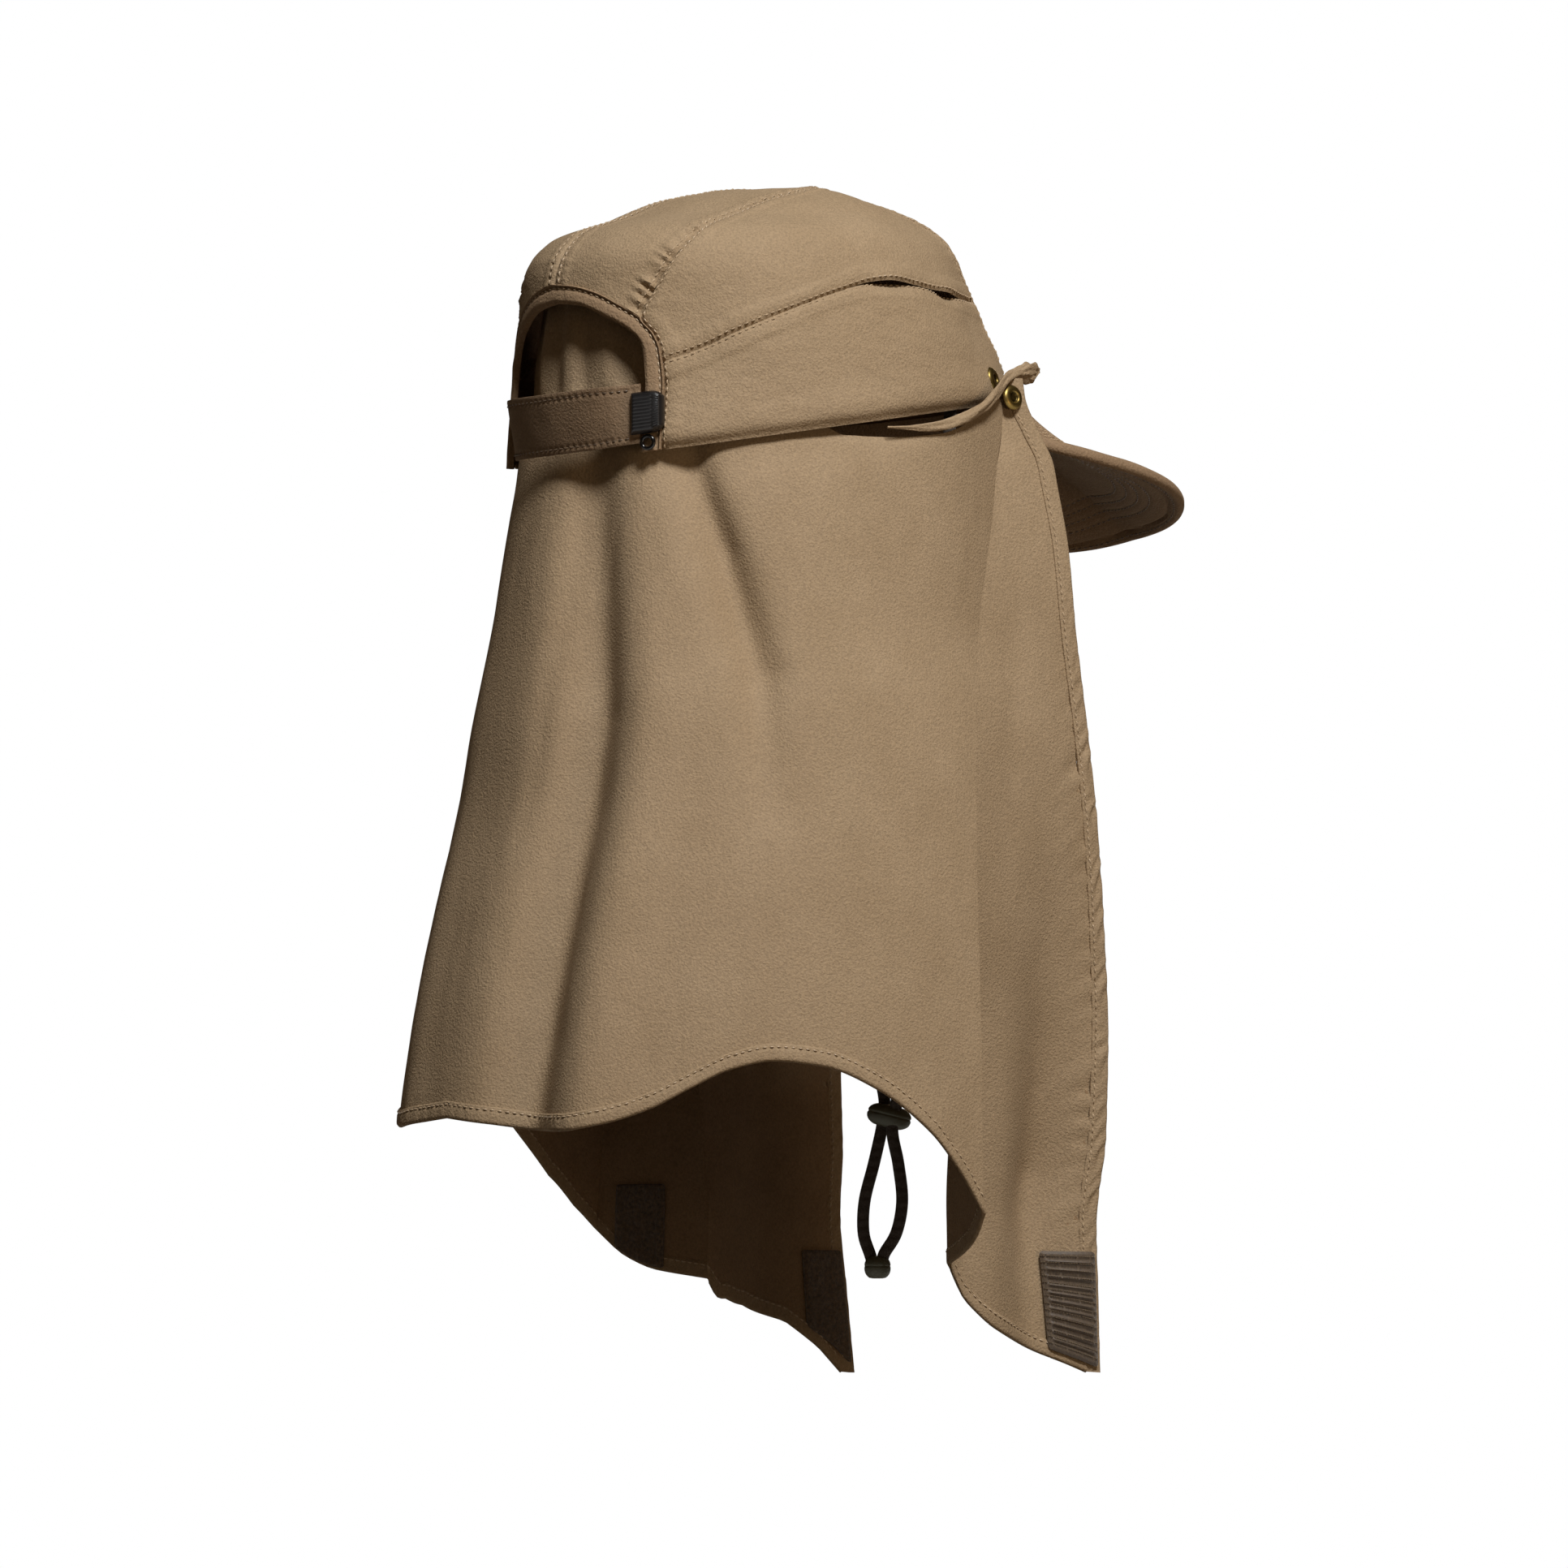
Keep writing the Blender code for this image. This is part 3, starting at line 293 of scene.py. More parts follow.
def wovenCloth(name, looks):
    # crepe woven polyester with a peach-skin face: matt, with a soft sheen and a fine pebbly grain
    material, tree, shader = newMaterial(name)
    place = addNode(tree, "ShaderNodeTexCoord").outputs["Object"]
    cloud = addNode(tree, "ShaderNodeTexNoise", {"Vector": place, "Scale": 1 / looks["cloudSize"],
                                                 "Detail": 3.0, "Roughness": 0.55})
    grain = addNode(tree, "ShaderNodeTexNoise", {"Vector": place, "Scale": 1 / looks["grainSize"],
                                                 "Detail": 2.0, "Roughness": 0.6})
    creases = addNode(tree, "ShaderNodeMapping", {"Vector": place, "Scale": looks["creaseStretch"]})
    crinkle = addNode(tree, "ShaderNodeTexNoise", {"Vector": creases.outputs["Vector"],
                                                   "Scale": 1 / looks["creaseSize"], "Detail": 4.0,
                                                   "Roughness": 0.62, "Distortion": 0.6})
    tone = addNode(tree, "ShaderNodeValToRGB", {"Fac": cloud.outputs["Fac"]})
    tone.color_ramp.elements[0].position, tone.color_ramp.elements[1].position = 0.3, 0.7
    tone.color_ramp.elements[0].color = linearColour(looks["shade"])
    tone.color_ramp.elements[1].color = linearColour(looks["light"])
    speck = addNode(tree, "ShaderNodeMapRange", {"Value": grain.outputs["Fac"], "From Min": 0.3,
                                                 "From Max": 0.7, "To Min": 1 - looks["speckle"],
                                                 "To Max": 1 + looks["speckle"]})
    colour = addNode(tree, "ShaderNodeVectorMath", {0: tone.outputs["Color"],
                                                    "Scale": speck.outputs["Result"]},
                     operation="SCALE")
    weave = addNode(tree, "ShaderNodeBump", {"Height": grain.outputs["Fac"],
                                             "Distance": looks["grainDepth"], "Strength": 1.0})
    folds = addNode(tree, "ShaderNodeBump", {"Height": crinkle.outputs["Fac"],
                                             "Distance": looks["creaseDepth"], "Strength": 1.0,
                                             "Normal": weave.outputs["Normal"]})
    setInputs(tree, shader, {
        "Base Color": colour.outputs["Vector"], "Normal": folds.outputs["Normal"],
        "Roughness": looks["roughness"], "IOR": 1.52, "Specular IOR Level": 0.35,
        "Sheen Weight": looks["sheen"], "Sheen Roughness": 0.45,
        "Sheen Tint": linearColour(looks["light"])})
    return material


clothLooks = dict(light="9A8468", shade="927C60", cloudSize=28 * mm, grainSize=0.9 * mm,
                  grainDepth=0.45 * mm, speckle=0.16, creaseSize=9 * mm, creaseStretch=(1, 1, 0.35),
                  creaseDepth=0.25 * mm, roughness=0.78, sheen=0.12)  # real grain is 0.5 mm
capeCloth = wovenCloth("crepePolyesterCape", clothLooks)
crownCloth = wovenCloth("peachSkinPolyesterCrown", dict(
    clothLooks, creaseStretch=(0.8, 0.8, 1.3), creaseSize=12 * mm, creaseDepth=0.2 * mm))
# a darker copy of the cloth for the inner faces of the crown and cape: painted shade inside them
shadedInnerCloth = wovenCloth("crepePolyesterInsideShaded", dict(
    clothLooks, light="8F7557", shade="80674B", sheen=0.05))
bindingCloth = wovenCloth("biasFoldedPolyester", dict(
    clothLooks, light="8F775C", shade="846C52", creaseSize=3 * mm, creaseStretch=(1, 1, 1),
    creaseDepth=0.18 * mm))
# a darker copy of the cloth for the strap: painted shade, as the strap faces away from the key light
shadedStrapCloth = wovenCloth("doubledPolyesterStrapShaded", dict(
    clothLooks, light="7E6850", shade="735D46", creaseSize=6 * mm, creaseDepth=0.15 * mm))
peakCloth = wovenCloth("polyesterOverBoard", dict(
    clothLooks, light="8E765C", shade="836B51", creaseSize=14 * mm, creaseDepth=0.12 * mm))


def spunThread(name, looks):
    # polyester sewing thread: fine twist and a slight lustre
    material, tree, shader = newMaterial(name)
    place = addNode(tree, "ShaderNodeTexCoord").outputs["Object"]
    twist = addNode(tree, "ShaderNodeTexNoise", {"Vector": place, "Scale": 1 / (0.8 * mm),
                                                 "Detail": 2.0})
    tone = addNode(tree, "ShaderNodeMix", {"Factor": twist.outputs["Fac"],
                                           "A": linearColour(looks["shade"]),
                                           "B": linearColour(looks["light"])}, data_type="RGBA")
    setInputs(tree, shader, {"Base Color": tone.outputs["Result"], "Roughness": 0.5,
                             "Sheen Weight": 0.2})
    return material


topThread = spunThread("polyesterThread", dict(light="C4AC8C", shade="8C765A"))
# a darker copy of the thread for the peak's underside and the strap: painted shade
shadedThread = spunThread("polyesterThreadShaded", dict(light="6B563E", shade="4A3A29"))


def mouldedPlastic(name, looks):
    # injection-moulded plastic: satin skin with a faint spark texture
    material, tree, shader = newMaterial(name)
    place = addNode(tree, "ShaderNodeTexCoord").outputs["Object"]
    skin = addNode(tree, "ShaderNodeTexNoise", {"Vector": place, "Scale": 1 / looks["grainSize"],
                                                "Detail": 3.0})
    wear = addNode(tree, "ShaderNodeTexNoise", {"Vector": place, "Scale": 1 / (3 * mm), "Detail": 2.0})
    tone = addNode(tree, "ShaderNodeMix", {"Factor": wear.outputs["Fac"],
                                           "A": linearColour(looks["shade"]),
                                           "B": linearColour(looks["light"])}, data_type="RGBA")
    gloss = addNode(tree, "ShaderNodeMapRange", {"Value": wear.outputs["Fac"],
                                                 "To Min": looks["roughness"] - 0.06,
                                                 "To Max": looks["roughness"] + 0.08})
    bump = addNode(tree, "ShaderNodeBump", {"Height": skin.outputs["Fac"], "Distance": 0.02 * mm,
                                            "Strength": 1.0})
    setInputs(tree, shader, {"Base Color": tone.outputs["Result"],
                             "Roughness": gloss.outputs["Result"],
                             "Normal": bump.outputs["Normal"], "IOR": 1.48})
    return material


clipPlastic = mouldedPlastic("mouldedAcetalBlack", dict(light="131214", shade="0B0A0B",
                                                        grainSize=0.4 * mm, roughness=0.36))
ringPlastic = mouldedPlastic("glossAcetalBlack", dict(light="0B0A0B", shade="060606",
                                                      grainSize=0.5 * mm, roughness=0.16))
lockPlastic = mouldedPlastic("mouldedNylonGreyGreen", dict(light="6E7061", shade="575A4C",
                                                           grainSize=0.3 * mm, roughness=0.5))


def antiqueBrass(name):
    # stamped brass, chemically darkened, with its high places rubbed bright
    material, tree, shader = newMaterial(name)
    place = addNode(tree, "ShaderNodeTexCoord").outputs["Object"]
    patina = addNode(tree, "ShaderNodeTexNoise", {"Vector": place, "Scale": 1 / (1.6 * mm),
                                                  "Detail": 5.0, "Roughness": 0.65})
    high = addNode(tree, "ShaderNodeNewGeometry").outputs["Pointiness"]
    rubbed = addNode(tree, "ShaderNodeMapRange", {"Value": high, "From Min": 0.47, "From Max": 0.56})
    both = addNode(tree, "ShaderNodeMath", {0: rubbed.outputs["Result"], 1: patina.outputs["Fac"]},
                   operation="ADD")
    tone = addNode(tree, "ShaderNodeValToRGB", {"Fac": both.outputs["Value"]})
    tone.color_ramp.elements[0].position, tone.color_ramp.elements[1].position = 0.45, 1.15
    tone.color_ramp.elements[0].color = linearColour("2E2614")
    tone.color_ramp.elements[1].color = linearColour("857140")
    setInputs(tree, shader, {"Base Color": tone.outputs["Color"], "Metallic": 1.0,
                             "Roughness": 0.38})
    return material


snapBrass = antiqueBrass("antiqueBrass")


def braidedCord(name):
    # flat polyester braid: the plait shows as a fine herringbone
    material, tree, shader = newMaterial(name)
    place = addNode(tree, "ShaderNodeTexCoord").outputs["Object"]
    wave = addNode(tree, "ShaderNodeTexWave", {"Vector": place, "Scale": 1 / (12 * mm),
                                               "Distortion": 1.5, "Detail": 2.0},
                   wave_type="BANDS", bands_direction="Z")
    fuzz = addNode(tree, "ShaderNodeTexNoise", {"Vector": place, "Scale": 1 / (0.7 * mm),
                                                "Detail": 3.0})
    height = addNode(tree, "ShaderNodeMath", {0: wave.outputs["Fac"], 1: fuzz.outputs["Fac"]},
                     operation="ADD")
    tone = addNode(tree, "ShaderNodeMix", {"Factor": fuzz.outputs["Fac"], "A": linearColour("241C15"),
                                           "B": linearColour("43362A")}, data_type="RGBA")
    bump = addNode(tree, "ShaderNodeBump", {"Height": height.outputs["Value"],
                                            "Distance": 0.25 * mm, "Strength": 1.0})
    setInputs(tree, shader, {"Base Color": tone.outputs["Result"],
                             "Normal": bump.outputs["Normal"], "Roughness": 0.8,
                             "Sheen Weight": 0.25})
    return material


cordBraid = braidedCord("flatPolyesterBraid")


def touchTape(name, looks):
    # nylon touch tape: woven ground, with hooks or with brushed loops that look fuzzy
    material, tree, shader = newMaterial(name)
    place = addNode(tree, "ShaderNodeTexCoord").outputs["Object"]
    nap = addNode(tree, "ShaderNodeTexNoise", {"Vector": place, "Scale": 1 / looks["napSize"],
                                               "Detail": 5.0, "Roughness": 0.7})
    tone = addNode(tree, "ShaderNodeValToRGB", {"Fac": nap.outputs["Fac"]})
    tone.color_ramp.elements[0].position, tone.color_ramp.elements[1].position = 0.35, 0.7
    tone.color_ramp.elements[0].color = linearColour(looks["shade"])
    tone.color_ramp.elements[1].color = linearColour(looks["light"])
    bump = addNode(tree, "ShaderNodeBump", {"Height": nap.outputs["Fac"],
                                            "Distance": looks["napDepth"], "Strength": 1.0})
    setInputs(tree, shader, {"Base Color": tone.outputs["Color"],
                             "Normal": bump.outputs["Normal"],
                             "Roughness": looks["roughness"], "Sheen Weight": 0.3})
    return material


hookTape = touchTape("nylonHookTape", dict(light="5F4E3A", shade="382C1F", napSize=0.9 * mm,
                                           napDepth=0.2 * mm, roughness=0.55))
hookNylon = touchTape("nylonHooks", dict(light="78664D", shade="5A4A36", napSize=0.6 * mm,
                                         napDepth=0.05 * mm, roughness=0.4))
loopTape = touchTape("nylonLoopTape", dict(light="6A5540", shade="33281C", napSize=1.3 * mm,
                                           napDepth=0.5 * mm, roughness=0.9))
print("materials ready")


# stitches, kept as small solid dashes of thread on the surface

stitchSize = dict(length=1.9 * mm, pitch=2.8 * mm, radius=0.3 * mm, lift=0.1 * mm, sides=5,
                  pullWidth=0.7 * mm, pull=0.34 * mm, hole=0.26 * mm)
stitchRings = [(0.0, 0.35, -0.6), (0.22, 0.9, 0.35), (0.5, 1.0, 0.6), (0.78, 0.9, 0.35),
               (1.0, 0.35, -0.6)]  # share of the length, share of the radius, rise in radii
stitchBook = {}


def stitchAlong(group, line, normals, skip=0):
    # short capsules of thread that follow a line on the cloth
    line, normals = np.array(line), np.array(normals)
    along = distanceAlong(line, 0)
    pitch, half, sides = stitchSize["pitch"], stitchSize["length"] / 2, stitchSize["sides"]
    points, faces = stitchBook.setdefault(group, ([], []))
    place = pitch * (0.5 + skip)
    while place < along[-1] - pitch * (0.5 + skip):
        start, end = [Vector([np.interp(at, along, line[:, k]) for k in range(3)])
                      for at in (place - half, place + half)]
        normal = Vector([np.interp(place, along, normals[:, k]) for k in range(3)]).normalized()
        side = (end - start).normalized().cross(normal).normalized()
        first = len(points)
        for share, size, rise in stitchRings:
            lift = stitchSize["lift"] + rise * stitchSize["radius"]
            middle = start.lerp(end, share) + normal * lift
            for n in range(sides):
                angle = 2 * pi * n / sides
                points.append(middle + (side * cos(angle) + normal * sin(angle))
                              * stitchSize["radius"] * size)
        faces.extend(gridFaces(len(stitchRings), sides, first, False, True))
        place += pitch


def stitchesOn(group, grid, normal, distance, offset, skip=0, fromEnd=False):
    # a stitch row where the distance along the columns is one offset
    if fromEnd:
        grid, normal = grid[:, ::-1], normal[:, ::-1]
        distance = distance[:, -1:] - distance[:, ::-1]
    line, facing = [], []
    for points, normals, places in zip(grid, normal, distance):
        if places[-1] > offset * 1.2:
            line.append([np.interp(offset, places, points[:, k]) for k in range(3)])
            facing.append([np.interp(offset, places, normals[:, k]) for k in range(3)])
    stitchAlong(group, line, facing, skip)


def needleHoles(distance, along, offset):
    # the cloth is drawn down along a stitch row, and most at each needle hole
    hole = stitchSize["hole"] * np.cos(2 * pi * along / stitchSize["pitch"])
    return -bell(distance - offset, stitchSize["pullWidth"]) * (stitchSize["pull"] + hole)


# crown

sizeAt = smoothCurve(crownRings, "rise", "size")
heightAt = smoothCurve(crownRings, "rise", "height")
shiftAt = smoothCurve(crownRings, "rise", "shift")
sizeOver = smoothCurve(crownRings, "height", "size")
shiftOver = smoothCurve(crownRings, "height", "shift")
startTurn = smoothCurve(sideStart, "rise", "turn")
endTurn = smoothCurve(sideEnd, "rise", "turn")
pocketRise = smoothCurve(pocketSeam, "turn", "rise")
archRise = smoothCurve(archSeam, "turn", "rise")
archEdgeTurn = smoothCurve(archEdge, "along", "turn")
archEdgeRise = smoothCurve(archEdge, "along", "rise")


def rimHeight(turn):
    return -tan(head["rimPitch"]) * head["halfLength"] * np.cos(np.radians(turn))


def crownSurface(turn, rise):
    # turn is in degrees from the middle of the rear, rise from 0 at the rim to 1 at the top
    height, size, shift = heightAt(rise), sizeAt(rise), shiftAt(rise)
    angle = np.radians(turn)
    pitched = 1 - np.minimum(1.0, height / head["levelHeight"])
    return np.stack([
        size * head["halfWidth"] * np.sin(angle),
        (shift - size * np.cos(angle)) * head["halfLength"],
        height * head["crownHeight"] + rimHeight(turn) * pitched], axis=-1)


def crownAtHeight(turn, height, out=0.0):
    turn, height = np.broadcast_arrays(np.asarray(turn, float), np.asarray(height, float))
    share = height / head["crownHeight"]
    foot = rimHeight(turn)
    level = head["levelHeight"]
    done = np.clip((height - foot) / (level * head["crownHeight"] - foot), 0.0, 1.0)
    upper = (height > foot) & (share > level)
    size = np.where(upper, sizeOver(share), mix(1.0, 0.97, done))
    shift = np.where(upper, shiftOver(share), -0.004 * done)
    angle = np.radians(turn)
    return np.stack([
        (size * head["halfWidth"] + out) * np.sin(angle),
        shift * head["halfLength"] - (size * head["halfLength"] + out) * np.cos(angle),
        height], axis=-1)


crownDents = [  # turn, rise, reach in mm, depth in mm: soft hollows and swellings of the worn cloth
    (118, 0.86, 16, -2.2), (60, 0.28, 30, 1.6), (100, 0.22, 34, 2.0), (132, 0.30, 20, -1.4),
    (75, 0.62, 34, 1.2), (24, 0.55, 26, 1.2), (-30, 0.5, 30, 1.4), (-80, 0.3, 30, 1.5),
    (-110, 0.62, 28, -1.4), (180, 0.5, 36, 1.5), (160, 0.82, 22, -1.5), (45, 0.17, 12, -1.3),
    (112, 0.55, 22, -1.2), (90, 0.78, 26, 1.4), (-60, 0.72, 24, 1.0)]
crownCentre = np.array([0, -5 * mm, 10 * mm])
crownCloths = dict(cloth=0.9 * mm, wrinkle=0.55 * mm, wrinkleSize=22 * mm, crease=0.16 * mm,
                   creaseSize=7 * mm)
seamShape = dict(dip=-0.9, dipWidth=0.8 * mm, swell=0.42, swellStart=(0.4 * mm, 1.4 * mm),
                 swellEnd=(5.5 * mm, 8 * mm), pucker=0.42, puckerPitch=4.6 * mm,
                 puckerWidth=4.2 * mm, wander=9 * mm)
pocketGape = dict(turns=((96, 7), (119, 6)), sag=-3.0 * mm, sagWidth=4 * mm, swell=0.8 * mm,
                  swellAt=8 * mm, swellWidth=5 * mm, lip=1.5 * mm, lipWidth=5 * mm)
rolledRim = dict(dip=-2.2 * mm, dipWidth=2.2 * mm, swell=0.8 * mm, swellAt=7 * mm,
                 swellWidth=6 * mm)


def crownDent(points):
    total = np.zeros(points.shape[:-1])
    for turn, rise, reach, depth in crownDents:
        middle = crownSurface(np.array(float(turn)), np.array(rise))
        away = np.linalg.norm(points - middle, axis=-1)
        total += depth * mm * bell(away, reach * mm)
    return total


def seamRelief(distance, along, seed, stitchAt, pucker):
    # cloth dips into a seam, swells over its turned-in edge, and puckers beside the stitches
    dip = seamShape["dip"] * bell(distance, seamShape["dipWidth"])
    swell = (seamShape["swell"] * ramp(*seamShape["swellStart"], distance)
             * (1 - ramp(*seamShape["swellEnd"], distance)))
    wander = np.array([noise.noise(Vector((place / seamShape["wander"], seed, 0.3)))
                       for place in along.ravel()]).reshape(along.shape)
    wave = (np.sin(2 * pi * along / seamShape["puckerPitch"] + 5 * wander)
            * (0.55 + 0.9 * wander))
    near = bell(distance - stitchAt, seamShape["puckerWidth"])
    folds = pucker * seamShape["pucker"] * wave * near
    return (dip + swell + folds) * mm + needleHoles(distance, along, stitchAt)


def crownPanel(name, start, end, low, high, columns, rows, side, seams, extra=None):
    # seams holds, for each sewn edge, its stitch distance in mm and its share of pucker
    across = np.linspace(0, 1, columns)
    up = np.linspace(0, 1, rows)

    def meet(edge, rise):
        for _ in range(14):
            rise = edge(mix(start(rise), end(rise), across))
        return rise

    feet, heads = meet(low, np.full(columns, 0.2)), meet(high, np.full(columns, 0.6))
    rise = feet[None, :] + (heads - feet)[None, :] * up[:, None]
    turn = mix(start(rise), end(rise), across[None, :])
    grid = crownSurface(side * turn, rise)
    normal = normalsOf(grid, grid - crownCentre)
    sideways, upwards = distanceAlong(grid, 1), distanceAlong(grid, 0)
    fields = dict(left=(sideways, upwards), right=(sideways[:, -1:] - sideways, upwards),
                  low=(upwards, sideways), high=(upwards[-1:] - upwards, sideways))
    relief = crownDent(grid)
    relief += noiseField(grid, crownCloths["wrinkleSize"], (1, 1, 1.5), 3.1) * crownCloths["wrinkle"]
    relief += noiseField(grid, crownCloths["creaseSize"], (1, 1, 2.2), 9.7) * crownCloths["crease"]
    for edge, (stitchAt, pucker) in seams.items():
        distance, along = fields[edge]
        relief += seamRelief(distance, along, len(name) + ord(edge[0]), stitchAt * mm, pucker)
    if extra is not None:
        relief += extra(turn, fields)
    outer = grid + normal * relief[..., None]
    normal = normalsOf(outer, grid - crownCentre)
    inner = outer - normal * crownCloths["cloth"]
    clothPiece(name + "Cloth", outer, inner, [crownCloth, shadedInnerCloth], [name])
    for edge, (stitchAt, pucker) in seams.items():
        surface = (outer, normal, distanceAlong(outer, 1))
        if edge in ("low", "high"):
            surface = swapped(outer, normal, distanceAlong(outer, 0))
        stitchesOn("crownStitching", *surface, stitchAt * mm, fromEnd=edge in ("right", "high"))


def gapeAt(turn):
    return sum(bell(turn - middle, width) for middle, width in pocketGape["turns"])


def pocketLip(turn, fields):
    return pocketGape["lip"] * gapeAt(turn) * bell(fields["low"][0], pocketGape["lipWidth"])


def sideSag(turn, fields):
    # the rim is a soft fold that rolls in, and the cloth sags from the pocket seam in two places
    rim, seam = fields["low"][0], fields["high"][0]
    rolled = (rolledRim["dip"] * bell(rim, rolledRim["dipWidth"])
              + rolledRim["swell"] * bell(rim - rolledRim["swellAt"], rolledRim["swellWidth"]))
    sagging = (pocketGape["sag"] * bell(seam, pocketGape["sagWidth"])
               + pocketGape["swell"] * bell(seam - pocketGape["swellAt"], pocketGape["swellWidth"]))
    return rolled + gapeAt(turn) * sagging


def panelTop(turn):
    return np.full_like(turn, head["panelTop"])


archCornerRise = archSeam["rise"][-1]
for side, word in ((1, "right"), (-1, "left")):
    crownPanel("rear_panel_" + word, np.zeros_like,
               lambda rise: startTurn(np.maximum(rise, archCornerRise)), archRise, panelTop,
               60, 110, side, dict(left=(3.2, 0.5), right=(2.3, 2.3)))
    crownPanel("top_panel_" + word, startTurn, endTurn, pocketRise, panelTop, 130, 110, side,
               dict(left=(1.6, 0.5), right=(1.8, 0.8), low=(1.8, 0.6)), pocketLip)
    crownPanel("side_panel_" + word, startTurn, endTurn, np.zeros_like, pocketRise, 150, 60, side,
               dict(left=(1.6, 0.3), right=(1.8, 0.4), high=(1.4, 0.3)), sideSag)
crownPanel("front_panel", endTurn, lambda rise: 360 - endTurn(rise), np.zeros_like, panelTop,
           90, 150, 1, dict(left=(1.8, 0.6), right=(1.8, 0.6), low=(3.0, 0.3)))
print("crown made")


# binding round the rear arch

binding = dict(thickness=2.0 * mm, piping=0.9 * mm, roll=0.9 * mm, edge=1.2 * mm,
               softness=0.28 * mm, pucker=0.1 * mm, puckerPitch=4.6 * mm, stitchRow=7)


def archSeamPlace(along):
    corner = archSeam["turn"][-1]
    turn = np.where(along < archCorner, corner * along / archCorner, 0.0)
    rise = np.where(along < archCorner, archRise(turn),
                    archCornerRise * (1 - along) / (1 - archCorner))
    return np.where(along < archCorner, turn, startTurn(rise)), rise


def makeBinding():
    along = np.linspace(-1, 1, 241)
    share = np.abs(along)
    seamTurn, seamRise = archSeamPlace(share)
    edgeTurn, edgeRise = archEdgeTurn(share), archEdgeRise(share)
    across = np.array([0.0, 0.03, 0.06, 0.09, 0.12, 0.15, 0.18, 0.22, 0.27, 0.33, 0.4, 0.5, 0.6, 0.7,
                       0.8, 0.88, 0.94, 0.98, 1.0])
    # a cord of piping, the dip beside it, the flat of the fold, and its rolled edge
    ridge = binding["piping"] * (0.2 + 1.1 * bell(across - 0.07, 0.055)
                                 - 0.35 * bell(across - 0.17, 0.04)
                                 + 0.75 * ramp(0.2, 0.5, across))
    ridge = ridge - binding["roll"] * ramp(0.84, 1.0, across)
    turn = mix(seamTurn[None, :], edgeTurn[None, :], across[:, None]) * np.sign(along)[None, :]
    rise = mix(seamRise[None, :], edgeRise[None, :], across[:, None])
    grid = crownSurface(turn, rise)
    normal = normalsOf(grid, grid - crownCentre)
    soft = noiseField(grid, 8 * mm, seed=4.4) * binding["softness"] \
        * ramp(0.15, 0.6, across)[:, None]
    run = distanceAlong(grid, 1)[4][None, :]
    soft = soft + np.sin(2 * pi * run / binding["puckerPitch"]) * binding["pucker"] \
        * bell(across - 0.3, 0.16)[:, None]
    outer = grid + normal * (ridge[:, None] + soft)[..., None]
    inner = grid + normal * (ridge[:, None] * 0.4 - binding["thickness"])[..., None]
    inner[-1] = outer[-1] - normal[-1] * binding["edge"]
    clothPiece("archBinding", outer, inner, [bindingCloth], ["arch_binding"])
    row = binding["stitchRow"]
    stitchAlong("bindingStitching", outer[row], normal[row], 1)


makeBinding()

# strap, clip and ring

strap = dict(width=22 * mm, rise=3 * mm, turn=40.0, out=1.2 * mm, cloth=1.2 * mm, clipTurn=33.3,
             clipWidth=12 * mm, clipHeight=15.5 * mm, clipThickness=4.2 * mm, ringRadius=2.3 * mm,
             ringWire=0.75 * mm, edgeStitch=2.2 * mm, lean=0.26, sag=1.0 * mm,
             slip=6.0 * mm, looseFrom=(-34.0, -8.0), looseTo=(20.0, 30.0), under=(-36.0, -4.0),
             ribs=1.3 * mm, ribHeight=0.26 * mm, teeth=0.95 * mm, toothHeight=0.3 * mm)
strapMiddle = float(rimHeight(0)) + strap["width"] / 2 + strap["rise"]


def strapPoint(turn, height, out):
    angle = np.radians(turn)
    slope = tan(head["rimPitch"]) * head["halfLength"] * (1 - np.cos(angle))
    # pulled flat across the arch, its left end slips under the binding
    free = ramp(*strap["looseFrom"], turn) * (1 - ramp(*strap["looseTo"], turn))
    slipped = strap["slip"] * (1 - ramp(*strap["under"], turn))
    out = out + (strap["lean"] * height + strap["sag"]) * free - slipped
    return np.stack(np.broadcast_arrays(
        (head["halfWidth"] + out) * np.sin(angle), -(head["halfLength"] + out) * np.cos(angle),
        strapMiddle + slope + height), axis=-1)


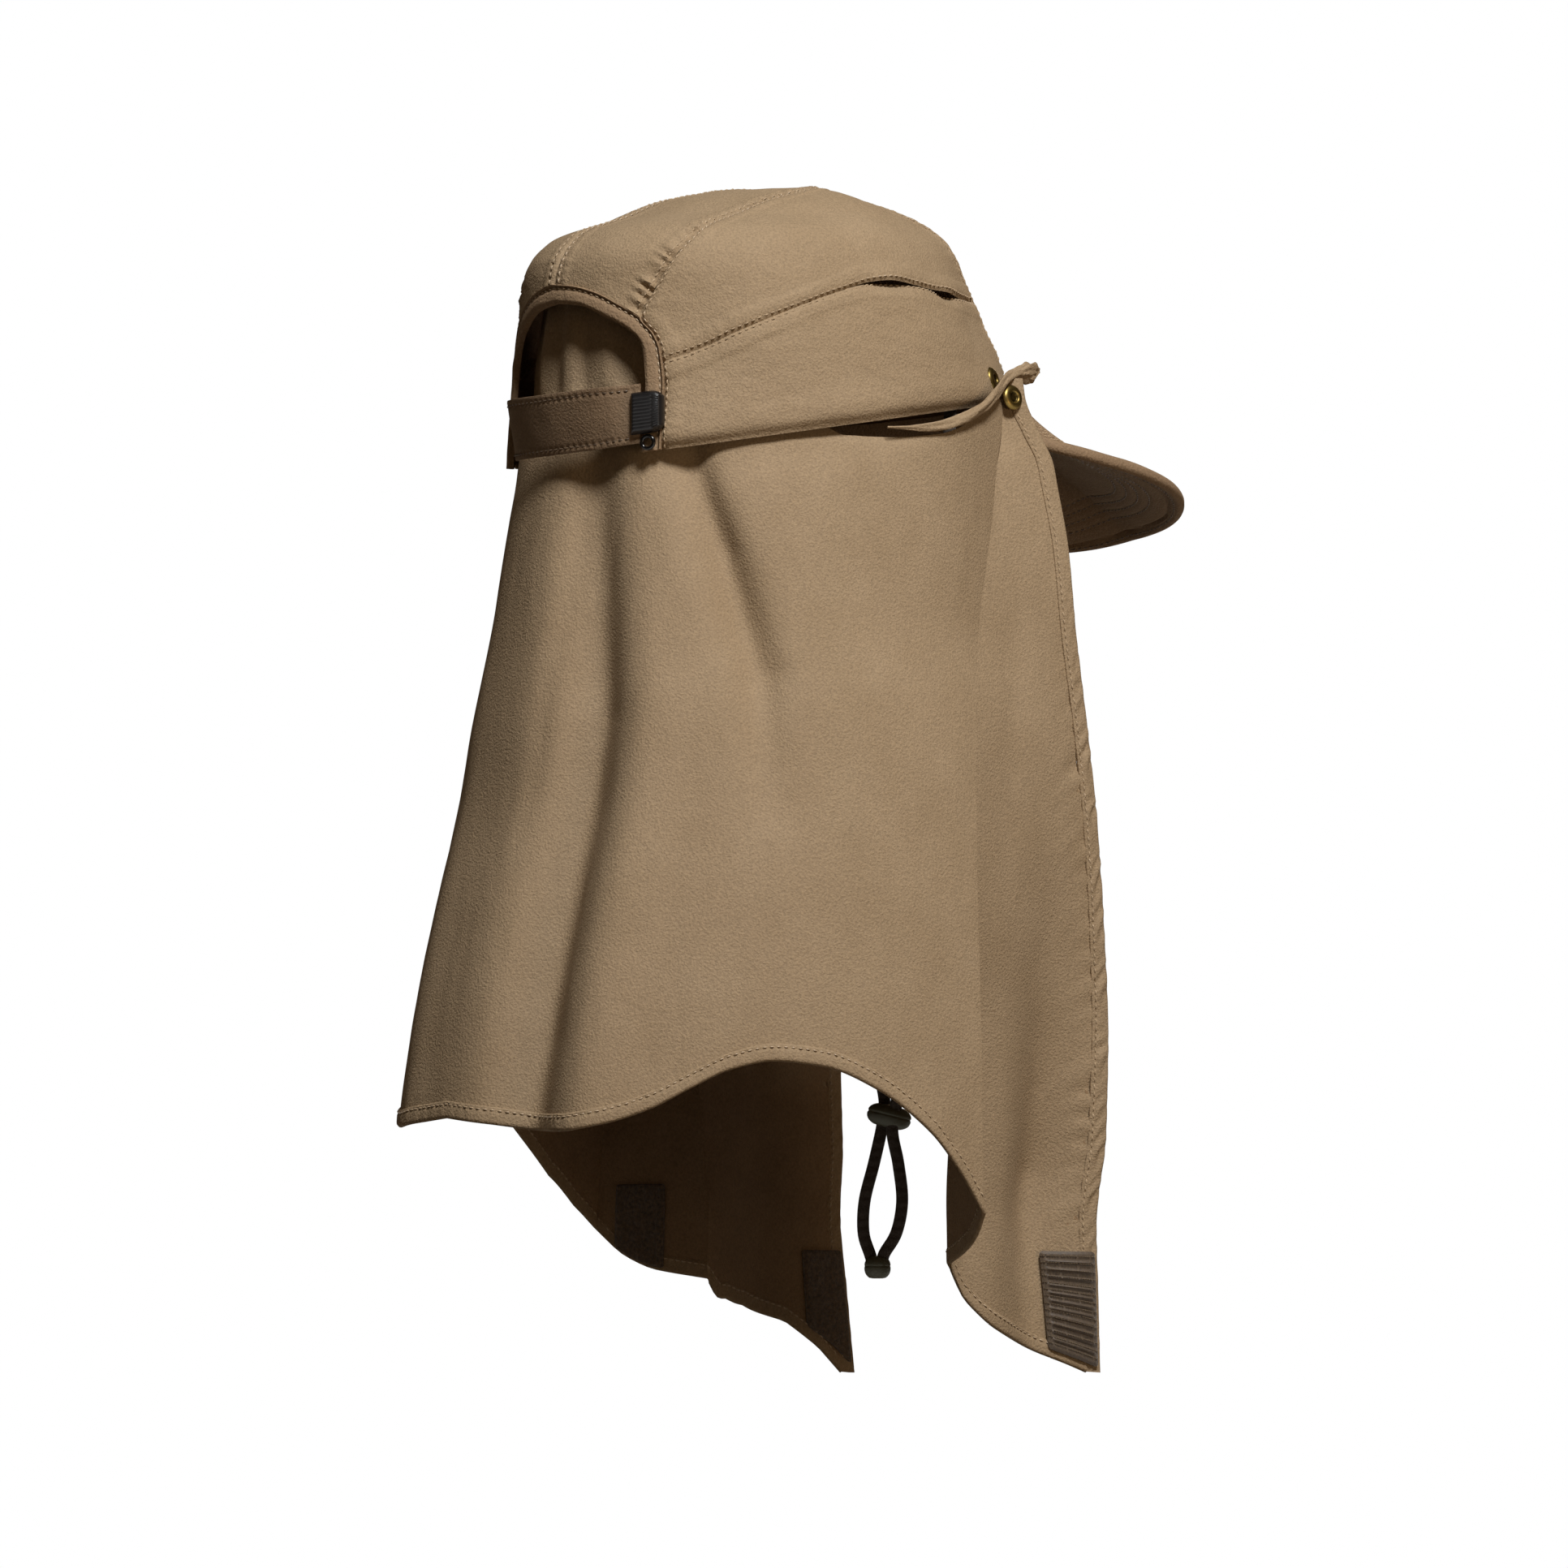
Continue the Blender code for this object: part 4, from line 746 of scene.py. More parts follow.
def makeStrap():
    clipRadius = mix(head["halfLength"], head["halfWidth"], sin(radians(strap["clipTurn"])))
    halfTurn = degrees(strap["clipWidth"] / 2 / clipRadius)
    turns = np.linspace(-strap["turn"], strap["clipTurn"] - halfTurn * 0.5, 170)[None, :]
    heights = np.linspace(-strap["width"] / 2, strap["width"] / 2, 34)[:, None]
    base = strapPoint(turns, heights, strap["out"] + strap["cloth"] * 0.5)
    normal = normalsOf(base, base - crownCentre)
    edge = strap["width"] / 2 - np.abs(heights)
    run = distanceAlong(base, 1)
    relief = 0.25 * mm * ramp(0.0, 0.9 * mm, edge) - 0.25 * mm
    relief = relief + needleHoles(edge, run, strap["edgeStitch"])
    relief = relief + noiseField(base, 9 * mm, seed=6.6) * 0.22 * mm
    relief = relief + 0.2 * mm * bell(turns - (strap["clipTurn"] - halfTurn - 5.0), 2.2)
    outer = base + normal * (relief + strap["cloth"] * 0.5)[..., None]
    inner = base + normal * (-relief * 0.3 - strap["cloth"] * 0.5)[..., None]
    clothPiece("rearStrap", outer, inner, [shadedStrapCloth], ["rear_strap"])
    for fromEnd in (False, True):
        stitchesOn("strapStitching", *swapped(outer, normal, distanceAlong(outer, 0)),
                   strap["edgeStitch"], 1, fromEnd)

    # clip: a cushion-edged block, ribbed across for the thumb
    wide, tall = 44, 60
    sides = np.linspace(-1, 1, wide)[None, :]
    ups = np.linspace(-1, 1, tall)[:, None]
    # the right end is rounder than the left one
    squeeze = 1 - np.maximum(0.0, sides - 0.2) ** 2.4 * 0.55
    heights = ups * strap["clipHeight"] / 2 * squeeze
    turns = strap["clipTurn"] + sides * halfTurn
    border = np.minimum(1 - np.abs(sides),
                        (1 - np.abs(ups)) * strap["clipHeight"] / strap["clipWidth"])
    crown = strap["clipThickness"] * (0.45 + 0.55 * np.sqrt(ramp(0.0, 0.22, border)))
    along = pi * ups * strap["clipHeight"]
    ribs = (strap["ribHeight"] * np.maximum(0.0, np.sin(along / strap["ribs"]))
            * ramp(0.12, 0.3, border) * (1 - ramp(0.3, 0.42, sides)))
    teeth = (strap["toothHeight"] * np.maximum(0.0, np.sin(along / strap["teeth"]))
             * bell(sides - 0.6, 0.16))
    outer = strapPoint(turns, heights, strap["out"] + crown + ribs + teeth)
    inner = strapPoint(turns, heights, strap["out"])
    clothPiece("strapClip", outer, inner, [clipPlastic], ["strap_clip"])
    below = -strap["clipHeight"] / 2 - strap["ringRadius"] - strap["ringWire"] - 0.3 * mm
    middle = Vector(strapPoint(strap["clipTurn"], below, strap["out"] + strap["ringRadius"] / 2))
    facing = Vector(strapPoint(strap["clipTurn"], 0, 1.0) - strapPoint(strap["clipTurn"], 0, 0.0))
    spin = facing.to_track_quat("Z", "Y")
    loop = []
    for n in range(49):
        angle = 2 * pi * n / 48
        loop.append(middle + spin @ Vector((cos(angle), sin(angle), 0)) * strap["ringRadius"])
    wire = [(strap["ringWire"] * cos(2 * pi * n / 14), strap["ringWire"] * sin(2 * pi * n / 14))
            for n in range(14)]
    ringPiece("strapRing", loop, wire, [ringPlastic], ["strap_ring"],
              facing.normalized())


makeStrap()
print("binding, strap and clip made")

# peak

peak = dict(halfWidth=72 * mm, length=82 * mm, front=77 * mm, thickness=3.4 * mm, turn=46.0,
            sideTurn=125.0, droop=46 * mm, sideDroop=22 * mm, twist=0.114, bulge=2.5 * mm,
            roundness=0.91, wingFall=0.55, edgeFall=0.4, hollow=1.3, seam=6.2 * mm,
            border=4.0 * mm, rows=(14.2 * mm, 19.1 * mm, 24.0 * mm, 28.9 * mm),
            groove=0.42 * mm, grooveHole=0.26 * mm, grooveWidth=0.8 * mm, rimRound=2.4 * mm,
            lip=0.6 * mm, seamDepth=0.9 * mm, seamWidth=0.55 * mm, strip=0.35 * mm,
            gather=0.11 * mm, gatherPitch=2.4 * mm)


def peakSurface(across, length):
    # across runs from -1 to 1 round the peak, length from 0 at the crown to 1 at the rim
    turn = 180 - across * peak["turn"]
    root = crownAtHeight(turn, rimHeight(turn), 0.6 * mm)
    angle = np.radians(across * peak["sideTurn"])
    side = np.abs(np.sin(angle)) ** peak["roundness"] * np.sign(across)
    widest = head["halfLength"] + peak["length"] - peak["front"]
    corner = crownAtHeight(180 - peak["turn"], 0.0)[..., 1]
    back = np.abs(np.cos(angle)) / abs(cos(radians(peak["sideTurn"])))
    forward = np.where(np.abs(across) * peak["sideTurn"] <= 90,
                       widest + np.abs(np.cos(angle)) ** peak["roundness"] * peak["front"],
                       mix(widest, corner, back))
    level = float(rimHeight(180))
    x = side * peak["halfWidth"]
    sideways = np.abs(side) ** 2
    fall = mix(peak["droop"], level + peak["sideDroop"], sideways)
    reach = np.maximum(0.0, (forward - root[..., 1]) / peak["length"])
    fallen = np.clip((forward - widest) / peak["front"] + sideways * peak["edgeFall"], 0.0, 1.0)
    z = level - fall * mix(peak["wingFall"], 1.0, fallen)
    z = z + peak["twist"] * x * np.minimum(1.0, reach + peak["edgeFall"] / 2)
    rim = np.stack([x, forward, z], axis=-1)
    point = root + (rim - root) * length[..., None]
    settled = 1 - (1 - length) ** (1 + peak["hollow"] * np.abs(side) ** 1.2)
    point[..., 2] = root[..., 2] + (z - root[..., 2]) * settled
    point[..., 2] += peak["bulge"] * np.sin(pi * length) * (1 - sideways)
    return point


def makePeak():
    across, length = np.meshgrid(np.linspace(-1, 1, 181), np.concatenate(
        [np.linspace(0, 0.96, 84), np.linspace(0.965, 1.0, 10)]))
    base = peakSurface(across, length)
    normal = normalsOf(base, (0, 0, 1))
    normal[0] = (0, 0, 1)
    run = distanceAlong(base, 0)
    away = run[-1:] - run
    along = distanceAlong(base, 1)
    rimmed = 1 - np.minimum(away / peak["rimRound"], 1)
    half = peak["thickness"] / 2 * np.sqrt(np.clip(1 - rimmed ** 2, 0.02, 1))
    top, under = half.copy(), half.copy()
    hole = peak["grooveHole"] * np.cos(2 * pi * along / stitchSize["pitch"])
    for at in peak["rows"]:
        fade = ramp(at + 2 * mm, at + 10 * mm, run + away)
        groove = bell(away - at, peak["grooveWidth"]) * (peak["groove"] + hole) * fade
        top, under = top - groove * 0.6, under - groove
    # the border is a separate strip below, sewn on along a deep seam
    seam = bell(away - peak["seam"], peak["seamWidth"]) * peak["seamDepth"]
    strip = peak["strip"] * (1 - ramp(peak["seam"] - 0.8 * mm, peak["seam"] - 0.1 * mm, away))
    between = (ramp(peak["seam"], peak["seam"] + 2 * mm, away)
               * (1 - ramp(peak["rows"][0] - 2 * mm, peak["rows"][0], away)))
    gathers = peak["gather"] * np.sin(2 * pi * along / peak["gatherPitch"]) * between
    under = under - seam + strip + gathers + needleHoles(away, along, peak["border"])
    lip = peak["lip"] * bell(away - 2.4 * mm, 2.4 * mm)
    soft = noiseField(base, 16 * mm, seed=2.5) * 0.2 * mm
    outer = base + normal * (top + lip + soft)[..., None]
    inner = base - normal * (under + lip - soft)[..., None]
    clothPiece("peakCloth", outer, inner, [peakCloth], ["peak"])
    for at in peak["rows"]:
        stitchesOn("peakTopStitching", *swapped(outer, normal, run), at, 1, True)
        stitchesOn("peakStitching", *swapped(inner, -normal, run), at, 1, True)
    stitchesOn("peakStitching", *swapped(inner, -normal, run), peak["border"], 1, True)


makePeak()
print("peak made")

# neck cape

capeSide, capeRear, capeCrease, capePleat, capeEdgeX, capeEdgeY = [
    smoothCurve(capeLevels, "depth", key)
    for key in ("side", "rear", "crease", "pleat", "edgeX", "edgeY")]
borderCurves = {part: {which: smoothCurve(rows, "along", which) for which in ("top", "hem")}
                for part, rows in capeBorders.items()}

# soft folds: side of the cap, width along its half, and places as (depth, along, push in mm)
capeFolds = [
    (1, 0.045, [(0.0, 0.30, -2.0), (0.06, 0.335, -6.0), (0.147, 0.42, -9.0), (0.275, 0.53, -7.0),
                (0.36, 0.56, -3.0), (0.45, 0.58, 0.0)]),
    (1, 0.070, [(0.0, 0.11, -1.5), (0.05, 0.12, -5.0), (0.10, 0.13, -7.0), (0.20, 0.165, -9.0),
                (0.32, 0.20, -12.0), (0.49, 0.19, -14.0), (0.66, 0.185, -14.0), (0.74, 0.18, -12.5),
                (1.0, 0.18, -12.5)]),
    (1, 0.080, [(0.1, 0.27, 0.0), (0.3, 0.34, 3.0), (0.49, 0.33, 5.0), (0.74, 0.32, 5.0)]),
    (1, 0.030, [(0.04, 0.10, -0.4), (0.2, 0.09, -1.2), (0.4, 0.08, -0.8), (0.6, 0.07, 0.0)]),
    (-1, 0.060, [(0.1, 0.48, 0.0), (0.5, 0.42, -3.0), (0.75, 0.36, -4.5)]),
    (-1, 0.080, [(0.1, 0.60, 0.0), (0.5, 0.60, 2.0), (0.75, 0.59, 3.0)]),
    (-1, 0.060, [(0.1, 0.17, 0.0), (0.5, 0.16, 2.0), (0.75, 0.14, 3.0)]),
    (-1, 0.045, [(0.1, 0.75, 0.0), (0.5, 0.75, -2.0), (0.75, 0.76, -2.6)])]
# the same on the right and left flaps, across share 0 to 1
flapFolds = [
    (1, 0.18, [(0.45, 0.64, 0.0), (0.62, 0.64, -5.0), (0.79, 0.64, -12.0), (0.9, 0.62, -8.0),
                (1.0, 0.60, -4.0)]),
    (1, 0.16, [(0.5, 0.25, 0.0), (0.79, 0.28, 3.0), (1.0, 0.25, 2.0)]),
    (1, 0.12, [(0.15, 0.35, 0.0), (0.3, 0.4, -1.2), (0.5, 0.3, 0.0)]),
    (-1, 0.22, [(0.4, 0.5, 0.0), (0.7, 0.45, 3.0), (1.0, 0.4, 4.0)])]
# small folds seen through the arch: place along the half, push in mm
hangingFolds = [(0.05, -1.6), (0.12, 1.2), (0.19, -1.4), (0.27, 1.3), (0.36, -1.0)]


def rearOfCape(turn, height):
    depth = -height / capeCut["drop"]
    base = crownAtHeight(turn, np.maximum(height, rimHeight(turn)))
    angle = np.radians(turn)
    inside = -capeCut["inside"] * ramp(*capeCut["tuck"], height)
    lap = ramp(*capeCut["lapTurn"], turn) * ramp(*capeCut["lapHeight"], height)
    out = mix(inside, capeCut["outside"], lap)
    x = base[..., 0] + capeSide(depth) * capeCut["flare"] * np.sin(angle) + np.sin(angle) * out
    y = base[..., 1] - capeRear(depth) * capeCut["rearFlare"] * np.cos(angle) - np.cos(angle) * out
    return np.stack([x, y, height], axis=-1)


def capeSection(part, share, height):
    share, height = np.broadcast_arrays(np.asarray(share, float), np.asarray(height, float))
    depth = -height / capeCut["drop"]
    crease = capeCrease(depth)
    if part == "rear":
        return rearOfCape(share * crease, height)
    fold = rearOfCape(crease, height)
    pleat = capePleat(depth)
    corner = fold.copy()
    corner[..., 0] -= capeCut["pleatDepth"] * pleat
    corner[..., 1] += capeCut["pleatForward"] * pleat
    if part == "pleat":
        return fold + (corner - fold) * share[..., None]
    edge = np.stack([capeEdgeX(depth) * head["halfWidth"], capeEdgeY(depth) * head["halfLength"],
                     height], axis=-1)
    return corner + (edge - corner) * share[..., None]


def capeBorder(part, share, which):
    size = head["crownHeight"] if which == "top" else -capeCut["drop"]
    return borderCurves[part][which](share) * size


def flapEnd(height):
    corner, edge = capeSection("flap", 0.0, height), capeSection("flap", 1.0, height)
    width = np.maximum(np.linalg.norm(edge - corner, axis=-1), capeCut["casingWidth"])
    return 1 - np.minimum(0.6, (capeCut["casingWidth"] + 0.3 * mm) / width)


def foldPush(folds, side, along, depth):
    total = np.zeros(np.broadcast(along, depth).shape)
    for foldSide, width, places in folds:
        if foldSide == side:
            depths, alongs, pushes = zip(*places)
            middle, push = np.interp(depth, depths, alongs), np.interp(depth, depths, pushes)
            total = total + push * mm * bell(along - middle, width)
    return total


def flapSurface(side, share, height):
    # the right-hand flap with the folds of the named side
    point = capeSection("flap", share, height)
    point[..., 0] += foldPush(flapFolds, side, share, -height / capeCut["drop"])
    return point


# the left flap hangs open, so its hem runs straighter to the tip than the right one, lift in mm
farHem = dict(
    rear=[(0.0, 0.0), (0.15, 1.5), (0.30, 5.0), (0.45, 5.0), (0.62, 1.0), (0.80, -8.0),
          (0.90, -12.0), (0.955, -9.0), (1.0, -3.0)],
    pleat=[(0.0, -3.0), (0.5, -5.0), (1.0, -4.0)],
    flap=[(0.0, -4.0), (0.08, 0.0), (0.16, 5.0), (0.30, 9.5), (0.63, 10.5), (0.85, 6.0), (1.0, 0.0)])


def farHemLift(part, share):
    places, lifts = zip(*farHem[part])
    return np.interp(share, places, lifts) * mm


def capePart(side, part, share, down, inset=0.0):
    # share and down are grids; down is 0 at the top edge and 1 at the hem
    top, hem = capeBorder(part, share, "top"), capeBorder(part, share, "hem") + inset
    if side < 0:
        hem = hem + farHemLift(part, share)
    height = mix(top, hem, down)
    if part == "flap":
        share = share * flapEnd(height)
    point = flapSurface(side, share, height) if part == "flap" else capeSection(part, share, height)
    if part == "rear":
        turn = np.radians(share * capeLevels["crease"][-1])
        push = foldPush(capeFolds, side, share, -height / capeCut["drop"]) * ramp(1.0, 0.9, share)
        # the cloth is drawn in just below the rim of the crown
        drawn = (bell(height - rimHeight(share * 115) + 2 * mm, capeCut["rimReach"])
                 * ramp(*capeCut["rimFrom"], share) * (1 - ramp(*capeCut["rimTo"], share)))
        push = push - capeCut["underRim"] * drawn
        for place, depth in hangingFolds:
            push = push + depth * mm * bell(share - place, 0.028) * ramp(2 * mm, 14 * mm, height)
        point[..., 0] += np.sin(turn) * push
        point[..., 1] -= np.cos(turn) * push
    if side < 0:
        point[..., 0] *= -1
    return point


capeDetail = dict(rows=118, rear=150, pleat=14, flap=26, wide=0.45 * mm, wideSize=26 * mm,
                  crinkle=0.2 * mm, crinkleSize=6 * mm, pucker=1.28 * mm, puckerPitch=10 * mm,
                  puckerWidth=9 * mm)
capeMiddle = np.array([0, 20 * mm, 0])


def capeGrid(insetHem, rows):
    # every column of the cape, from its left edge to its right edge
    down = np.linspace(0, 1, rows)[:, None]
    halves = []
    for side in (-1, 1):
        parts = []
        for part, count in (("rear", capeDetail["rear"]), ("pleat", capeDetail["pleat"]),
                            ("flap", capeDetail["flap"])):
            share = np.linspace(0, 1, count)[None, (0 if part == "rear" else 1):]
            if part == "flap":
                share = share ** 1.15
            parts.append(capePart(side, part, *np.broadcast_arrays(share, down), insetHem))
        halves.append(np.concatenate(parts, axis=1))
    return np.concatenate([halves[0][:, :0:-1], halves[1]], axis=1)


def capeRelief(grid):
    # soft folds and fine crinkles, with slanting puckers beside the front casings
    height = grid[..., 2]
    relief = noiseField(grid, capeDetail["wideSize"], (1, 1, 0.28), 5.5) * capeDetail["wide"]
    relief = relief * mix(0.3, 1.0, np.clip(-height / (60 * mm), 0, 1))
    relief += noiseField(grid, capeDetail["crinkleSize"], (1, 1, 0.3), 8.1) * capeDetail["crinkle"]
    across = distanceAlong(grid, 1)
    low = ramp(-60 * mm, -120 * mm, height)
    for away, seed in ((across, 1.0), (across[:, -1:] - across, 2.0)):
        wander = noiseField(grid, 15 * mm, seed=seed)
        slant = 2 * pi * (height + 0.7 * away) / capeDetail["puckerPitch"]
        wave = np.sin(slant + 4 * wander) * (0.5 + wander)
        relief += capeDetail["pucker"] * bell(away, capeDetail["puckerWidth"]) * wave * low
    return relief


def makeCape():
    base = capeGrid(capeCut["hemWidth"] - capeCut["hemLap"], capeDetail["rows"])
    size = (float(distanceAlong(base, 1)[-1].max()), float(distanceAlong(base, 0)[-1].max()))
    outward = (base - capeMiddle) * (1, 1, 0)
    outer = base + normalsOf(base, outward) * capeRelief(base)[..., None]
    inner = outer - normalsOf(outer, outward) * capeCut["cloth"]
    piece = clothPiece("neckCape", outer, inner, [capeCloth, shadedInnerCloth], ["cape"])
    return piece, size


def bandPuff(across, edge):
    # half the thickness of a folded band: flat in its middle, thin at both edges
    return capeCut["bandThickness"] / 2 * (
        edge + (1 - edge) * np.sqrt(np.clip(1 - (2 * across - 1) ** 6, 0, 1)))


hemDetail = dict(rows=11, stitchAt=5.0 * mm, stitchRow=2, puckerPitch=5.2 * mm, puckerAt=3.6 * mm,
                 puckerWidth=2.6 * mm, wander=14 * mm)


def makeHem():
    # a folded band round the lower edge, with one row of stitches near its top
    band = np.linspace(0, 1, hemDetail["rows"])[:, None]
    line, upper = capeGrid(0.0, 2)[-1], capeGrid(capeCut["hemWidth"], 2)[-1]
    run = distanceAlong(line[None], 1)
    grid = line[None] + (upper - line)[None] * (1 - band)[..., None]
    row = (1 - band) * capeCut["hemWidth"]
    grid[..., 2] = line[None, :, 2] + row
    normal = normalsOf(grid, grid - capeMiddle)
    puff = bandPuff(band, 0.35)
    sway = np.array([noise.noise(Vector((place / hemDetail["wander"], 0.7, 1.9)))
                     for place in run[0]])[None, :]
    pucker = np.sin(2 * pi * run / hemDetail["puckerPitch"] + 4 * sway) * 0.16 + sway * 0.25
    pucker = pucker * mm * bell(row - hemDetail["puckerAt"], hemDetail["puckerWidth"])
    holes = needleHoles(row, run, hemDetail["stitchAt"])
    outer = grid + normal * (puff + pucker + holes)[..., None]
    inner = grid - normal * (puff - pucker * 0.4)[..., None]
    clothPiece("capeHem", outer, inner, [capeCloth], ["cape_hem"])
    row = hemDetail["stitchRow"]
    stitchAlong("hemStitching", outer[row], normal[row], 1)
    stitchAlong("hemStitching", inner[row], -normal[row], 1)


casing = dict(rows=240, columns=13, lap=1.06, tipShare=0.85, stitchAt=1.5 * mm, twist=0.8 * mm,
              twistPitch=8.5 * mm, twistSlant=1.3, twistAt=4.2 * mm, twistWidth=3.0 * mm)


def makeCasing(side, word):
    # a folded band down the front edge, drawn up into slanting puckers by its own stitches
    down = np.linspace(0, 1, casing["rows"])[:, None]
    across = np.linspace(0, 1, casing["columns"])[None, :]
    height = mix(capeBorder("flap", 1.0, "top"), capeBorder("flap", 1.0, "hem"), down)
    share = 1 - (1 - flapEnd(height)) * casing["lap"] * (1 - across)
    ending = mix(share, 1.0, casing["tipShare"])
    level = mix(capeBorder("flap", ending, "top"), capeBorder("flap", ending, "hem"), down)
    base = flapSurface(side, share, level)
    base[..., 0] *= side
    normal = normalsOf(base, (side, 0, 0))
    run, away = distanceAlong(base, 0), distanceAlong(base, 1)
    sway = noiseField(base, 9 * mm, seed=3.3)
    slant = 2 * pi * (run + casing["twistSlant"] * away) / casing["twistPitch"]
    twist = (np.sin(slant + 4 * sway) * (0.5 + sway) * casing["twist"]
             * ramp(0.12, 0.4, down) * bell(away - casing["twistAt"], casing["twistWidth"]))
    puff = bandPuff(across, 0.4)
    outer = base + normal * (puff + twist + needleHoles(away, run, casing["stitchAt"]))[..., None]
    inner = base - normal * (puff - twist * 0.5)[..., None]
    clothPiece("frontCasing" + word.title(), outer, inner, [capeCloth],
               ["front_casing_" + word])
    for face, facing in ((outer, normal), (inner, -normal)):
        stitchesOn("hemStitching", face, facing, distanceAlong(face, 1), casing["stitchAt"], 1)


cape, capeSize = makeCape()
makeHem()
for side, word in ((1, "right"), (-1, "left")):
    makeCasing(side, word)

# rolled top corners of the cape, and the snaps that hold them

rollRoute = dict(
    turn=[88, 93, 99, 106, 113, 120, 127, 133, 138, 140.5],
    height=[-0.040, -0.036, -0.026, 0.008, 0.066, 0.142, 0.212, 0.244, 0.262, 0.270],
    out=[-0.6, 1.0, 2.6, 3.8, 4.4, 4.6, 5.0, 6.5, 10.5, 13.0])
rollHeight = smoothCurve(rollRoute, "turn", "height")
rollOut = smoothCurve(rollRoute, "turn", "out")
rollSize = dict(across=1.3 * mm, tall=2.0 * mm, clear=1.5 * mm, steps=120, sides=36)


def makeRoll(side, word):
    steps, sides = rollSize["steps"], rollSize["sides"]
    turns = np.linspace(rollRoute["turn"][0], rollRoute["turn"][-1], steps)
    route = crownAtHeight(turns, rollHeight(turns) * head["crownHeight"],
                          rollOut(turns) * mm + rollSize["clear"])
    route[:, 0] *= side
    share = np.linspace(0, 1, steps)
    points = []
    for n, place in enumerate(route):
        ahead = Vector(route[min(n + 1, steps - 1)]) - Vector(route[max(n - 1, 0)])
        ahead.normalize()
        outward = Vector((place[0], place[1], 0)).normalized()
        up = ahead.cross(outward).normalized() * side
        outward = (up.cross(ahead) * side).normalized()
        # the cloth flares a little at its start, and crumples at its tip
        fullness = mix(0.22, 1.0, float(ramp(0.0, 0.3, share[n])))
        fullness *= (1.0 + 0.75 * float(ramp(0.84, 0.94, share[n]))
                     - 1.25 * float(ramp(0.95, 1.0, share[n])))
        rough = 0.5 + 1.4 * float(ramp(0.8, 1.0, share[n]))
        for m in range(sides):
            angle = 2 * pi * m / sides
            lobes = 0.20 * cos(3 * (angle + 5.2 * share[n])) + 0.09 * cos(5 * angle - 9 * share[n])
            crumple = 0.22 * noise.noise(Vector((3 * cos(angle), 3 * sin(angle),
                                                 share[n] * 30 + side)))
            radius = (1 + lobes + crumple * rough) * fullness
            points.append(Vector(place) + outward * cos(angle) * rollSize["across"] * radius
                          + up * sin(angle) * rollSize["tall"] * radius)
    faces = gridFaces(steps, sides, 0, side > 0, True)
    faces.append(tuple(range(sides))[::side])
    faces.append(tuple(range(steps * sides - 1, (steps - 1) * sides - 1, -1))[::side])
    addPiece("cornerRoll" + word.title(), points, faces, [capeCloth],
             ["corner_roll_" + word])


snapSize = dict(radius=4.8 * mm, thickness=1.5 * mm, share=0.34, level=12.5 * mm, clear=2.8 * mm,
                tilt=radians(26), socketTurn=128.0, socketLevel=16.5 * mm)
snapProfile = [  # share of the radius, share of the thickness
    (0.02, 0.30), (0.20, 0.32), (0.34, 0.36), (0.40, 0.52), (0.44, 0.84), (0.50, 0.97), (0.58, 1.0),
    (0.68, 0.98), (0.78, 0.88), (0.88, 0.70), (0.96, 0.45), (1.0, 0.25), (1.0, 0.06), (0.95, 0.0),
    (0.5, 0.0), (0.02, 0.0)]


def makeSnap(name, middle, facing, node):
    profile = [(a * snapSize["radius"], b * snapSize["thickness"]) for a, b in snapProfile]
    points, faces = lathe(profile, middle, facing, 48)
    addPiece(name, points, [f[::-1] for f in faces], [snapBrass], [node], sharp=60)


def flapPlace(side, share, height):
    # the CAD places its snaps on the whole flap, casing included
    point = flapSurface(side, share, height)
    point[..., 0] *= side
    return point


for side, word in ((1, "right"), (-1, "left")):
    makeRoll(side, word)
    place = flapPlace(side, snapSize["share"], snapSize["level"])
    forward = Vector(flapPlace(side, snapSize["share"] + 0.1, snapSize["level"]) - place)
    down = Vector(flapPlace(side, snapSize["share"], snapSize["level"] - 2 * mm) - place)
    facing = (down.cross(forward) * side).normalized()
    place = Vector(place) + facing * snapSize["clear"]
    facing = Matrix.Rotation(side * snapSize["tilt"], 3, "Z") @ facing
    makeSnap("snap" + word.title(), place, facing, "snap_" + word)
    share = (snapSize["socketLevel"] / head["crownHeight"] / head["levelHeight"]
             * crownRings["rise"][1])
    spot = crownSurface(side * snapSize["socketTurn"], share)
    beside = crownSurface(side * snapSize["socketTurn"] + 0.5, share)
    above = crownSurface(side * snapSize["socketTurn"], share + 0.01)
    facing = Vector(beside - spot).cross(Vector(above - spot)).normalized()
    if facing.dot(Vector(spot)) < 0:
        facing = -facing
    makeSnap("snapSocket" + word.title(), Vector(spot) + facing * 0.3 * mm, facing,
             "snap_socket_" + word)
print("rolls and snaps made")

# touch tape

tapeSize = dict(width=20 * mm, length=43 * mm, thickness=1.4 * mm, overHem=1.2 * mm, corner=0.12,
                rows=90, columns=46, lift=0.2 * mm, weave=0.8 * mm, weavePitch=3.4 * mm,
                fuzz=0.7 * mm)
hookSize = dict(rows=14, columns=20, height=0.75 * mm, sink=0.1 * mm, reach=0.34 * mm,
                wire=0.17 * mm, bends=5, sides=4)


